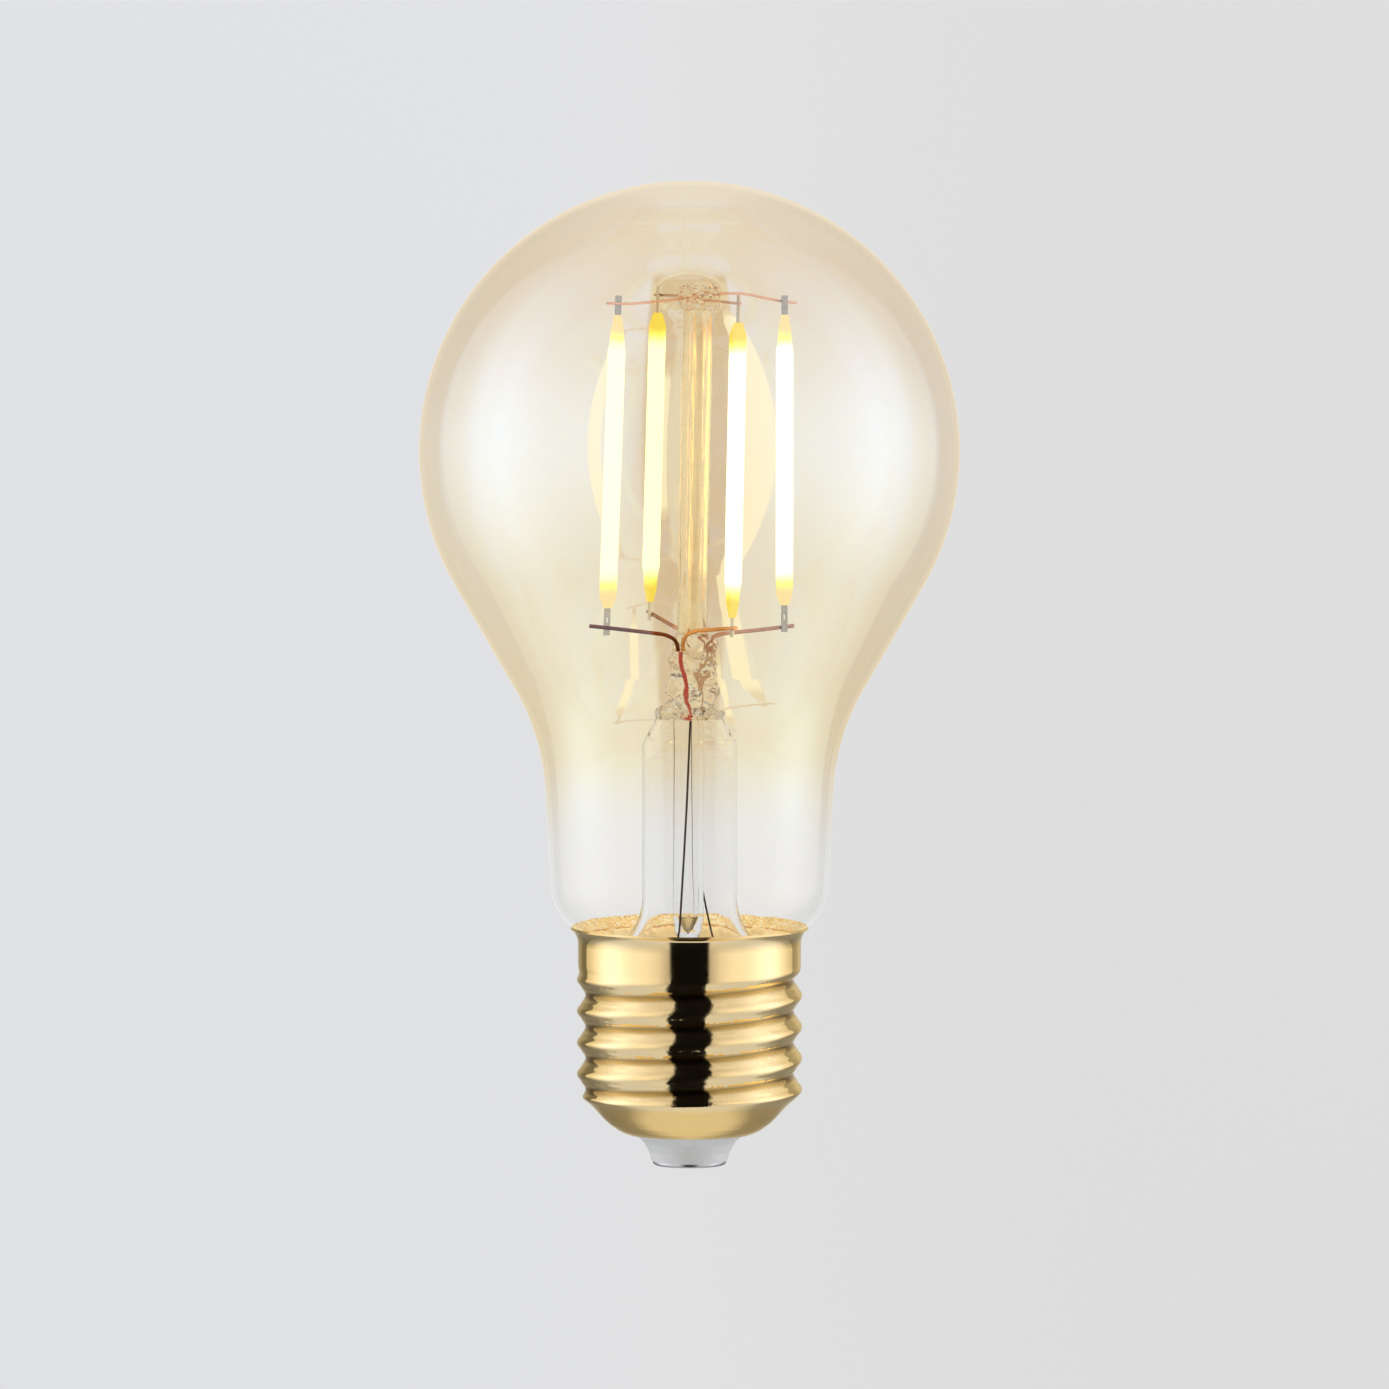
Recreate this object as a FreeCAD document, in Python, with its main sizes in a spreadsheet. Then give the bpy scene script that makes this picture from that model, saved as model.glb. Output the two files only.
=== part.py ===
import FreeCAD, Part
import math
import os
import Sketcher

# Smart LED filament bulb with an E26 screw cap.
# Frame: millimetres, +Z up along the bulb's axis towards the crown, origin at the
# centre of the bottom face of the centre contact. +X is to the right in the front
# view and -Y is the front.

doc = FreeCAD.newDocument("smart_light_bulb")
VEC = FreeCAD.Vector

# ---------------------------------------------------------------- dimensions
sheet = doc.addObject("Spreadsheet::Sheet", "Dims")

TABLE = [
    # glass envelope
    ("globe_radius", 30.9, "outer radius of the globe"),
    ("globe_centre_up", 82.1, "height of the globe centre"),
    ("glass_wall", 0.6, "wall of the blown glass"),
    ("cone_top_radius", 26.7602, "outer radius where the globe meets the cone"),
    ("cone_top_up", 66.65, "height of that circle"),
    ("cone_foot_radius", 19.9185, "outer radius where the cone meets the neck curve"),
    ("cone_foot_up", 54.8, "height of that circle"),
    ("neck_curve_radius", 25.6, "concave radius between cone and neck"),
    ("neck_top_radius", 16.5215, "outer radius at the top of the neck"),
    ("neck_top_up", 43.3132, "height of the neck top"),
    ("neck_foot_radius", 15.9404, "outer radius at the foot of the neck"),
    ("neck_foot_up", 32.15, "height of the neck foot"),
    ("shoulder_radius", 6.0, "convex radius of the lower shoulder"),
    ("shoulder_foot_radius", 13.3896, "outer radius where the shoulder ends"),
    ("shoulder_foot_up", 27.5428, "height of that circle"),
    ("throat_start_radius", 13.2, "outer radius where the throat curve starts"),
    ("throat_start_up", 27.41, "height of that circle"),
    ("throat_curve_radius", 3.4, "concave radius into the throat"),
    ("throat_radius", 11.7502, "outer radius of the sealed throat"),
    ("throat_top_up", 24.6249, "height where the throat turns straight"),
    ("throat_foot_up", 22.0, "lower edge of the glass"),
    # glass stem
    ("flare_radius", 5.44, "outer radius of the flare tube"),
    ("flare_wall", 0.8, "wall of the flare tube"),
    ("flare_top_radius", 3.9, "outer radius of the flare at the press"),
    ("flare_top_up", 51.5, "height of the joint of flare and press"),
    ("flare_shoulder_up", 48.0, "height where the flare shoulder starts"),
    ("flare_foot_up", 31.0, "height where the trumpet foot starts"),
    ("flare_foot_curve", 7.0, "radius of the trumpet foot"),
    ("flare_rim_radius", 11.05, "outer radius of the trumpet foot"),
    ("press_half_width", 2.9, "half width of the press seal"),
    ("press_half_depth", 1.6, "half thickness of the press seal"),
    ("press_top_up", 61.2, "height of the press top"),
    ("press_shift", 0.45, "sideways offset of the press seal"),
    ("exhaust_radius", 1.765, "outer radius of the exhaust tube"),
    ("exhaust_bore", 0.85, "bore radius of the exhaust tube"),
    ("exhaust_tip_up", 24.4, "height of the tipped-off end"),
    ("post_radius", 1.75, "outer radius of the centre post"),
    ("post_bore", 0.65, "bore radius of the centre post"),
    ("post_length", 37.1, "length of the centre post"),
    ("button_radius", 2.35, "radius of the glass button"),
    ("button_height", 3.0, "height of the glass button"),
    # wires
    ("link_wire_radius", 0.15, "radius of the wires through the button"),
    ("arm_radius", 0.225, "radius of the lower support arms"),
    ("dumet_radius", 0.25, "radius of the sealed wires"),
    ("lead_radius", 0.25, "radius of the outer leads"),
    ("hookup_radius", 0.45, "radius of the insulated hook-up wire"),
    ("antenna_radius", 0.3, "radius of the antenna wire"),
    # filaments
    ("filament_length", 38.7, "tab end to tab end"),
    ("filament_radius", 0.975, "radius of the phosphor coating"),
    ("plain_tab_out", 2.2, "bare length of the plain tab"),
    ("slot_tab_out", 3.1, "bare length of the slotted tab"),
    ("tab_width", 0.74, "width of an end tab"),
    ("tab_thick", 0.16, "thickness of an end tab"),
    ("tab_bury", 1.3, "length of a tab inside the coating"),
    ("slot_width", 0.26, "width of the polarity slot"),
    ("slot_length", 0.64, "length of the polarity slot"),
    ("strip_width", 0.8, "width of the ceramic strip"),
    ("strip_thick", 0.4, "thickness of the ceramic strip"),
    ("chip_long", 0.7, "length of an LED chip"),
    ("chip_wide", 0.3, "width of an LED chip"),
    ("chip_thick", 0.15, "thickness of an LED chip"),
    ("chip_count", 26, "LED chips on one strip"),
    ("chip_pitch", 1.14, "pitch of the LED chips"),
    # screw cap
    ("crest_radius", 12.97, "outer radius at the thread crest"),
    ("skirt_radius", 12.82, "outer radius of the plain skirt"),
    ("skirt_foot_up", 23.4, "height where the plain skirt starts"),
    ("thread_depth", 1.0, "radial depth of the rolled thread"),
    ("thread_pitch", 3.629, "pitch of the rolled thread"),
    ("thread_crest_up", 19.68, "height of a crest on the +X side"),
    ("shell_wall", 0.25, "sheet thickness of the shell"),
    ("shell_foot_radius", 7.75, "radius of the hole in the shell's foot"),
    ("shell_foot_up", 3.9, "height of the shell's foot"),
    ("shell_lip_radius", 13.68, "outer radius of the lip"),
    ("shell_lip_up", 27.36, "height of the lip"),
    ("contact_radius", 4.25, "radius of the contact disc"),
    ("contact_up", 0.12, "height of the disc's lower face"),
    ("contact_thick", 0.46, "thickness of the disc"),
    ("pin_head_radius", 1.9, "radius of the contact pin's head"),
    ("pin_radius", 0.8, "radius of the contact pin's shank"),
    ("pin_top_up", 7.4, "height of the contact pin's end"),
    # driver in the cap
    ("sleeve_radius", 11.0, "outer radius of the insulating sleeve"),
    ("sleeve_wall", 0.35, "wall of the insulating sleeve"),
    ("sleeve_foot_up", 7.7, "lower edge of the sleeve"),
    ("sleeve_top_up", 20.6, "upper edge of the sleeve"),
    ("board_width", 18.4, "width of the driver board"),
    ("board_tall", 13.4, "height of the driver board"),
    ("board_thick", 1.0, "thickness of the driver board"),
    ("module_width", 13.0, "width of the radio module board"),
    ("module_tall", 12.4, "height of the radio module board"),
    ("module_thick", 0.8, "thickness of the radio module board"),
]
NUM = {}
row = 1
sheet.set("A1", "alias")
sheet.set("B1", "value")
sheet.set("C1", "meaning")
for alias, value, meaning in TABLE:
    row += 1
    sheet.set("A%d" % row, alias)
    sheet.set("B%d" % row, str(value))
    sheet.setAlias("B%d" % row, alias)
    sheet.set("C%d" % row, meaning)
    NUM[alias] = float(value)
doc.recompute()


class Size:
    """A number together with the spreadsheet expression that gives it."""

    def __init__(self, value, text):
        self.value = float(value)
        self.text = text

    def __add__(self, other):
        other = size(other)
        return Size(self.value + other.value, "(%s + %s)" % (self.text, other.text))

    def __radd__(self, other):
        return size(other) + self

    def __sub__(self, other):
        other = size(other)
        return Size(self.value - other.value, "(%s - %s)" % (self.text, other.text))

    def __rsub__(self, other):
        return size(other) - self

    def __mul__(self, other):
        other = size(other)
        return Size(self.value * other.value, "(%s * %s)" % (self.text, other.text))

    def __rmul__(self, other):
        return size(other) * self

    def __truediv__(self, other):
        other = size(other)
        return Size(self.value / other.value, "(%s / %s)" % (self.text, other.text))

    def __neg__(self):
        return Size(-self.value, "(0 - %s)" % self.text)


def size(number):
    if isinstance(number, Size):
        return number
    return Size(number, repr(round(float(number), 6)) if number >= 0 else "(0 - %r)" % round(-float(number), 6))


def dim(alias):
    return Size(NUM[alias], "Dims.%s" % alias)


PARTS = {}


def keep(node, obj):
    obj.Label = node
    PARTS[node] = obj
    return obj


# ---------------------------------------------------------------- sketch tools
def plane_of(body, role):
    for feature in body.Origin.OriginFeatures:
        if feature.Role == role:
            return feature
    raise ValueError(role)


def new_body(name):
    return doc.addObject("PartDesign::Body", name)


def arc_centre(p, q, radius, left):
    """Centre of the arc from p to q, on the left or right of the way from p to q."""
    mx, my = (p[0] + q[0]) / 2.0, (p[1] + q[1]) / 2.0
    dx, dy = q[0] - p[0], q[1] - p[1]
    span = math.hypot(dx, dy)
    rise = math.sqrt(max(radius * radius - span * span / 4.0, 0.0))
    nx, ny = -dy / span, dx / span
    if not left:
        nx, ny = -nx, -ny
    return mx + nx * rise, my + ny * rise


def sketch_loop(body, name, role, corners, offset=None):
    """Closed profile. corners: (x, y) or (x, y, radius, 'left' or 'right') where the
    radius is that of the arc from this corner to the next one and the side is where
    its centre lies."""
    sk = body.newObject("Sketcher::SketchObject", name)
    sk.AttachmentSupport = [(plane_of(body, role), "")]
    sk.MapMode = "FlatFace"
    if offset is not None:
        sk.AttachmentOffset = FreeCAD.Placement(VEC(0, 0, offset), FreeCAD.Rotation())
    add_loop(sk, corners)
    return sk


def add_loop(sk, corners):
    pts = [(size(c[0]), size(c[1])) for c in corners]
    count = len(pts)
    ends = []
    first = sk.GeometryCount
    for i, corner in enumerate(corners):
        p = (pts[i][0].value, pts[i][1].value)
        q = (pts[(i + 1) % count][0].value, pts[(i + 1) % count][1].value)
        if len(corner) > 2:
            radius = size(corner[2])
            left = corner[3] == "left"
            cx, cy = arc_centre(p, q, radius.value, left)
            a = math.atan2(p[1] - cy, p[0] - cx)
            b = math.atan2(q[1] - cy, q[0] - cx)
            circle = Part.Circle(VEC(cx, cy, 0), VEC(0, 0, 1), radius.value)
            if left:
                while b <= a:
                    b += 2 * math.pi
                geo = sk.addGeometry(Part.ArcOfCircle(circle, a, b), False)
                ends.append((geo, 1, 2))
            else:
                while a <= b:
                    a += 2 * math.pi
                geo = sk.addGeometry(Part.ArcOfCircle(circle, b, a), False)
                ends.append((geo, 2, 1))
        else:
            geo = sk.addGeometry(Part.LineSegment(VEC(p[0], p[1], 0), VEC(q[0], q[1], 0)), False)
            ends.append((geo, 1, 2))
    for i in range(count):
        a, b = ends[i], ends[(i + 1) % count]
        sk.addConstraint(Sketcher.Constraint("Coincident", a[0], a[2], b[0], b[1]))
    for i, corner in enumerate(corners):
        geo, start, _ = ends[i]
        for axis, kind, line in ((0, "DistanceX", -2), (1, "DistanceY", -1)):
            value = pts[i][axis]
            if abs(value.value) < 1e-9:
                sk.addConstraint(Sketcher.Constraint("PointOnObject", geo, start, line))
                continue
            number = sk.addConstraint(Sketcher.Constraint(kind, -1, 1, geo, start, value.value))
            if "Dims" in value.text:
                sk.setExpression("Constraints[%d]" % number, value.text)
        if len(corner) > 2:
            radius = size(corner[2])
            number = sk.addConstraint(Sketcher.Constraint("Radius", geo, radius.value))
            if "Dims" in radius.text:
                sk.setExpression("Constraints[%d]" % number, radius.text)
    return first


def revolved(name, corners, body=None):
    """Solid of revolution about Z from a half profile in the XZ plane."""
    body = body or new_body(name)
    sk = sketch_loop(body, name + "_profile", "XZ_Plane", corners)
    rev = body.newObject("PartDesign::Revolution", name + "_revolution")
    rev.Profile = sk
    rev.ReferenceAxis = (sk, ["V_Axis"])
    rev.Angle = 360.0
    sk.Visibility = False
    body.Tip = rev
    return body


def padded(name, corners, length, role="XY_Plane", offset=None, body=None, middle=False):
    """Straight pad of a closed loop."""
    body = body or new_body(name)
    sk = sketch_loop(body, name + "_outline", role, corners, offset)
    pad = body.newObject("PartDesign::Pad", name + "_pad")
    pad.Profile = sk
    length = size(length)
    pad.Length = length.value
    if "Dims" in length.text:
        pad.setExpression("Length", length.text)
    pad.Midplane = middle
    sk.Visibility = False
    body.Tip = pad
    return body


def rect(x0, y0, x1, y1):
    return [(x0, y0), (x1, y0), (x1, y1), (x0, y1)]


def boxed(name, x0, y0, z0, wide, deep, tall):
    """Box with its low corner at x0, y0, z0."""
    box = doc.addObject("Part::Box", name)
    for prop, value in (("Length", wide), ("Width", deep), ("Height", tall)):
        value = size(value)
        setattr(box, prop, value.value)
        if "Dims" in value.text:
            box.setExpression(prop, value.text)
    box.Placement = FreeCAD.Placement(VEC(size(x0).value, size(y0).value, size(z0).value), FreeCAD.Rotation())
    return box


# ---------------------------------------------------------------- bent wires
def bent_path(points):
    """Straight runs joined by tangent arcs."""
    pts = [VEC(*p) for p in points]
    edges = []
    here = pts[0]
    for i in range(1, len(pts) - 1):
        a, b, c = pts[i - 1], pts[i], pts[i + 1]
        run_in, run_out = b.sub(a), c.sub(b)
        u, v = VEC(run_in).normalize(), VEC(run_out).normalize()
        turn = math.acos(max(-1.0, min(1.0, u.dot(v))))
        if turn < 1e-3:
            continue
        cut = 0.45 * min(run_in.Length, run_out.Length)
        cut = min(cut, 6.0 * math.tan(turn / 2.0) + 0.3)
        start, end = b.sub(VEC(u).multiply(cut)), b.add(VEC(v).multiply(cut))
        bend = cut / math.tan(turn / 2.0)
        to_centre = VEC(v).sub(u).normalize()
        centre = b.add(VEC(to_centre).multiply(bend / math.cos(turn / 2.0)))
        middle = centre.sub(VEC(to_centre).multiply(bend))
        edges.append(Part.makeLine(here, start))
        edges.append(Part.Arc(start, middle, end).toShape())
        here = end
    edges.append(Part.makeLine(here, pts[-1]))
    return Part.Wire(edges)


def bent_wire(name, points, radius):
    """Round wire swept along straight runs and tangent arcs."""
    wire = bent_path(points)
    path = doc.addObject("Part::Feature", name + "_route")
    path.Shape = wire
    path.Visibility = False
    start = VEC(*points[0])
    way = VEC(*points[1]).sub(start)
    ring = doc.addObject("Part::Circle", name + "_section")
    ring.Radius = radius.value
    ring.setExpression("Radius", radius.text)
    ring.Placement = FreeCAD.Placement(start, FreeCAD.Rotation(VEC(0, 0, 1), way))
    ring.Visibility = False
    sweep = doc.addObject("Part::Sweep", name)
    sweep.Sections = [ring]
    sweep.Spine = (path, ["Edge%d" % (i + 1) for i in range(len(wire.Edges))])
    sweep.Solid = True
    sweep.Frenet = False
    WIRE_CHECK.append((name, sweep, wire.Length, radius.value))
    return sweep


WIRE_CHECK = []


def cut_by(name, base, tools):
    """base with the space of the tools taken out of it."""
    if len(tools) == 1:
        tool = tools[0]
    else:
        tool = doc.addObject("Part::Compound", name + "_space")
        tool.Links = tools
    cut = doc.addObject("Part::Cut", name)
    cut.Base = base
    cut.Tool = tool
    return cut


# ================================================================ glass envelope
# Globe, 30 degree cone, concave neck curve, slightly tapered neck, rounded shoulder
# and straight throat, with the same wall all the way.
wall = dim("glass_wall")
C30, S30 = math.cos(math.radians(30.0)), math.sin(math.radians(30.0))
NECK = math.radians(2.94)
CN, SN = math.cos(NECK), math.sin(NECK)
C55, S55 = math.cos(math.radians(55.0)), math.sin(math.radians(55.0))
gr, gz = dim("globe_radius"), dim("globe_centre_up")
envelope_corners = [
    (0, gz + gr, gr, "right"),
    (gr, gz, gr, "right"),
    (dim("cone_top_radius"), dim("cone_top_up")),
    (dim("cone_foot_radius"), dim("cone_foot_up"), dim("neck_curve_radius"), "left"),
    (dim("neck_top_radius"), dim("neck_top_up")),
    (dim("neck_foot_radius"), dim("neck_foot_up"), dim("shoulder_radius"), "right"),
    (dim("shoulder_foot_radius"), dim("shoulder_foot_up")),
    (dim("throat_start_radius"), dim("throat_start_up"), dim("throat_curve_radius"), "left"),
    (dim("throat_radius"), dim("throat_top_up")),
    (dim("throat_radius"), dim("throat_foot_up")),
    (dim("throat_radius") - wall, dim("throat_foot_up")),
    (dim("throat_radius") - wall, dim("throat_top_up"), dim("throat_curve_radius") + wall, "right"),
    (dim("throat_start_radius") - wall * C55, dim("throat_start_up") + wall * S55),
    (dim("shoulder_foot_radius") - wall * C55, dim("shoulder_foot_up") + wall * S55, dim("shoulder_radius") - wall, "left"),
    (dim("neck_foot_radius") - wall * CN, dim("neck_foot_up") + wall * SN),
    (dim("neck_top_radius") - wall * CN, dim("neck_top_up") + wall * SN, dim("neck_curve_radius") + wall, "right"),
    (dim("cone_foot_radius") - wall * C30, dim("cone_foot_up") + wall * S30),
    (dim("cone_top_radius") - wall * C30, dim("cone_top_up") + wall * S30, gr - wall, "left"),
    (gr - wall, gz, gr - wall, "left"),
    (0, gz + gr - wall),
]
keep("glass_envelope", revolved("envelope", envelope_corners))

# ================================================================ glass stem
# Flare tube: open below, closed on top by the press seal, with a trumpet foot that
# reaches the throat of the envelope.
fw = dim("flare_wall")
fr, ft = dim("flare_radius"), dim("flare_foot_up")
fc = dim("flare_foot_curve")
C60, S60 = 0.5, math.sqrt(0.75)
foot_x = fr + fc * (1 - C60)
foot_z = ft - fc * S60
rim_drop = (dim("flare_rim_radius") - foot_x) * (C60 / S60)
flare_corners = [
    (dim("flare_top_radius"), dim("flare_top_up")),
    (fr - 0.5, dim("flare_shoulder_up") + 1.5, 2.2, "right"),
    (fr, dim("flare_shoulder_up") - 0.1),
    (fr, ft, fc, "left"),
    (foot_x, foot_z),
    (dim("flare_rim_radius"), foot_z - rim_drop),
    (dim("flare_rim_radius"), foot_z - rim_drop - 0.69),
    (dim("flare_rim_radius") - fw * C60, foot_z - rim_drop - fw * S60),
    (foot_x - fw * C60, foot_z - fw * S60, fc + fw, "right"),
    (fr - fw, ft),
    (fr - fw, dim("flare_shoulder_up") - 0.1, 1.4, "left"),
    (fr - 1.25, dim("flare_shoulder_up") + 1.1),
    (dim("flare_top_radius") - 0.72, dim("flare_top_up")),
]
keep("stem_flare", revolved("flare", flare_corners))

# Exhaust tube: hangs from the press, drawn to a sealed point at its lower end.
er, eb, et = dim("exhaust_radius"), dim("exhaust_bore"), dim("exhaust_tip_up")
exhaust_corners = [
    (0, et),
    (0.45, et + 0.12),
    (0.85, et + 0.75),
    (er - 0.25, et + 2.5),
    (er, et + 4.2),
    (er, dim("flare_top_up")),
    (eb, dim("flare_top_up")),
    (eb, et + 4.3),
    (0.4, et + 2.9),
    (0, et + 2.4),
]
exhaust = revolved("exhaust", exhaust_corners)
exhaust.Placement = FreeCAD.Placement(VEC(-0.17, 0, 0), FreeCAD.Rotation())
keep("exhaust_tube", exhaust)

# Press seal: a pinched block, round where it leaves the flare and flat above.
PRESS = [
    # height above the flare joint, half width, half depth, sideways shift
    (0.0, dim("flare_top_radius") - 0.05, dim("flare_top_radius") - 0.05, 0.0),
    (0.7, dim("press_half_width") + 0.75, dim("press_half_depth") + 1.5, 0.1),
    (1.9, dim("press_half_width") + 0.25, dim("press_half_depth") + 0.45, 0.3),
    (4.0, dim("press_half_width"), dim("press_half_depth"), 0.45),
    (7.2, dim("press_half_width") - 0.1, dim("press_half_depth"), 0.5),
    (8.8, dim("press_half_width") - 0.45, dim("press_half_depth") + 0.15, 0.45),
    (9.7, dim("press_half_width") - 1.0, dim("press_half_depth") + 0.22, 0.35),
]
rings = []
for i, (up, half_w, half_d, shift) in enumerate(PRESS):
    ring = doc.addObject("Part::Ellipse", "press_ring_%d" % i)
    turn = half_d.value > half_w.value
    major, minor = (half_d, half_w) if turn else (half_w, half_d)
    ring.MajorRadius = major.value + 1e-4
    ring.MinorRadius = minor.value
    ring.setExpression("MajorRadius", "%s + 0.0001" % major.text)
    ring.setExpression("MinorRadius", minor.text)
    ring.Placement = FreeCAD.Placement(
        VEC(shift, 0, NUM["flare_top_up"] + up), FreeCAD.Rotation(VEC(0, 0, 1), 0))
    ring.Visibility = False
    rings.append(ring)
press_blank = doc.addObject("Part::Loft", "press_blank")
press_blank.Sections = rings
press_blank.Solid = True
press_blank.Ruled = False

# Centre post: a thick glass tube that leans a little to +X.
POST_FOOT = (0.32, 0.0, 61.2)
POST_TOP = (1.08, 0.0, 98.3)
lean = math.degrees(math.atan2(POST_TOP[0] - POST_FOOT[0], POST_TOP[2] - POST_FOOT[2]))
post_place = FreeCAD.Placement(VEC(*POST_FOOT), FreeCAD.Rotation(VEC(0, 1, 0), lean))
post = revolved("post", [
    (dim("post_bore"), 0.05),
    (dim("post_radius"), 0.05),
    (dim("post_radius"), dim("post_length")),
    (dim("post_bore"), dim("post_length")),
])
post.Placement = post_place
keep("centre_post", post)

# Button: the melted bead on top of the post, round edged.
bt, bh = dim("button_radius"), dim("button_height")
button_blank = revolved("button_blank", [
    (0, dim("post_length") + 0.03),
    (dim("post_radius") + 0.1, dim("post_length") + 0.03, 0.9, "left"),
    (bt, dim("post_length") + 0.9),
    (bt, dim("post_length") + bh - 1.1, 1.3, "left"),
    (bt - 1.2, dim("post_length") + bh - 0.05),
    (0, dim("post_length") + bh),
])
button_blank.Placement = post_place

# ---------------------------------------------------------------- link wires
LINK_1 = [(-9.39, -4.8, 99.1), (-6.8, -3.75, 99.0), (-2.2, -1.55, 99.4), (1.08, 0.0, 99.95),
          (4.5, 1.6, 100.15), (6.3, 2.35, 100.1), (10.79, 4.32, 99.15), (12.29, 5.0, 99.0)]
LINK_2 = [(-4.0, 10.75, 99.85), (-0.15, 2.5, 99.85), (1.08, 0.0, 99.25), (2.0, -2.1, 99.4),
          (5.8, -10.6, 99.12)]
link_1 = keep("link_wire_1", bent_wire("link_wire_1", LINK_1, dim("link_wire_radius")))
link_2 = keep("link_wire_2", bent_wire("link_wire_2", LINK_2, dim("link_wire_radius")))
keep("post_button", cut_by("button", button_blank, [link_1, link_2]))

# ---------------------------------------------------------------- lower wires
ARM_1 = [(-11.36, -5.35, 62.4), (-8.9, -4.55, 62.1), (-5.2, -3.2, 61.6), (-2.75, -2.15, 61.25),
         (-1.55, -1.45, 60.6), (-1.28, -1.1, 59.3)]
ARM_2 = [(5.25, -11.3, 62.5), (0.75, -3.5, 61.75), (-0.4, -2.15, 61.2), (-0.74, -1.35, 60.3), (-0.76, -1.1, 59.3)]
ARM_3 = [(12.0, 5.25, 61.85), (8.0, 3.75, 61.45), (3.4, 1.75, 61.1), (2.05, 1.1, 60.4), (1.95, 1.0, 59.3)]
ARM_4 = [(-4.85, 10.95, 63.2), (-1.4, 3.1, 61.65), (0.55, 2.2, 61.0), (1.35, 1.3, 60.3), (1.43, 1.0, 59.3)]
arms = []
for i, route in enumerate((ARM_1, ARM_2, ARM_3, ARM_4)):
    arms.append(keep("support_arm_%d" % (i + 1), bent_wire("support_arm_%d" % (i + 1), route, dim("arm_radius"))))

DUMET_1 = [(-1.02, -1.1, 59.2), (-1.05, -1.15, 58.0), (-0.42, -1.15, 56.0), (-0.35, -1.2, 54.0), (0.02, -2.2, 51.5)]
DUMET_2 = [(1.69, 1.0, 59.2), (1.72, 1.05, 58.0), (1.1, 1.15, 56.0), (1.0, 1.2, 54.0), (0.62, 2.2, 51.5)]
dumets = []
for i, route in enumerate((DUMET_1, DUMET_2)):
    dumets.append(keep("dumet_wire_%d" % (i + 1), bent_wire("dumet_wire_%d" % (i + 1), route, dim("dumet_radius"))))
keep("stem_press_seal", cut_by("press", press_blank, arms + dumets))

LEAD_1 = [(0.1, -2.45, 51.3), (-0.05, -2.65, 48.0), (-0.3, -2.6, 42.0), (-0.62, -2.6, 36.0), (-1.15, -2.6, 27.0),
          (-2.3, -2.75, 22.6), (-3.0, -2.8, 19.4)]
LEAD_2 = [(0.68, 2.45, 51.3), (0.75, 2.65, 48.0), (0.85, 2.6, 42.0), (1.2, 2.6, 33.0), (2.6, 2.5, 26.4),
          (3.5, 1.1, 22.6), (3.9, -1.22, 20.2), (3.9, -1.22, 19.2)]
keep("outer_lead_1", bent_wire("outer_lead_1", LEAD_1, dim("lead_radius")))
keep("outer_lead_2", bent_wire("outer_lead_2", LEAD_2, dim("lead_radius")))

# ================================================================ LED filaments
# One filament is a ceramic strip with a row of LED chips, a metal tab on each end and a
# round phosphor coating with one pointed and one blunt end. Local Z runs from the plain
# tab to the slotted tab. Neighbouring filaments stand opposite ways up, as their
# polarity needs.
fl, fra = dim("filament_length"), dim("filament_radius")
pt, st = dim("plain_tab_out"), dim("slot_tab_out")
tw, tt = dim("tab_width"), dim("tab_thick")
bury = dim("tab_bury")
FILAMENTS = [
    # upper weld, lower weld, plain tab up
    ((-7.95, -4.2, 99.1), (-9.28, -4.66, 62.13), True),
    ((5.25, -9.4, 99.12), (4.53, -9.95, 62.36), False),
    ((10.79, 4.2, 99.15), (10.78, 4.72, 61.9), True),
    ((-3.3, 9.25, 99.96), (-4.32, 9.72, 63.14), False),
]
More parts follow.
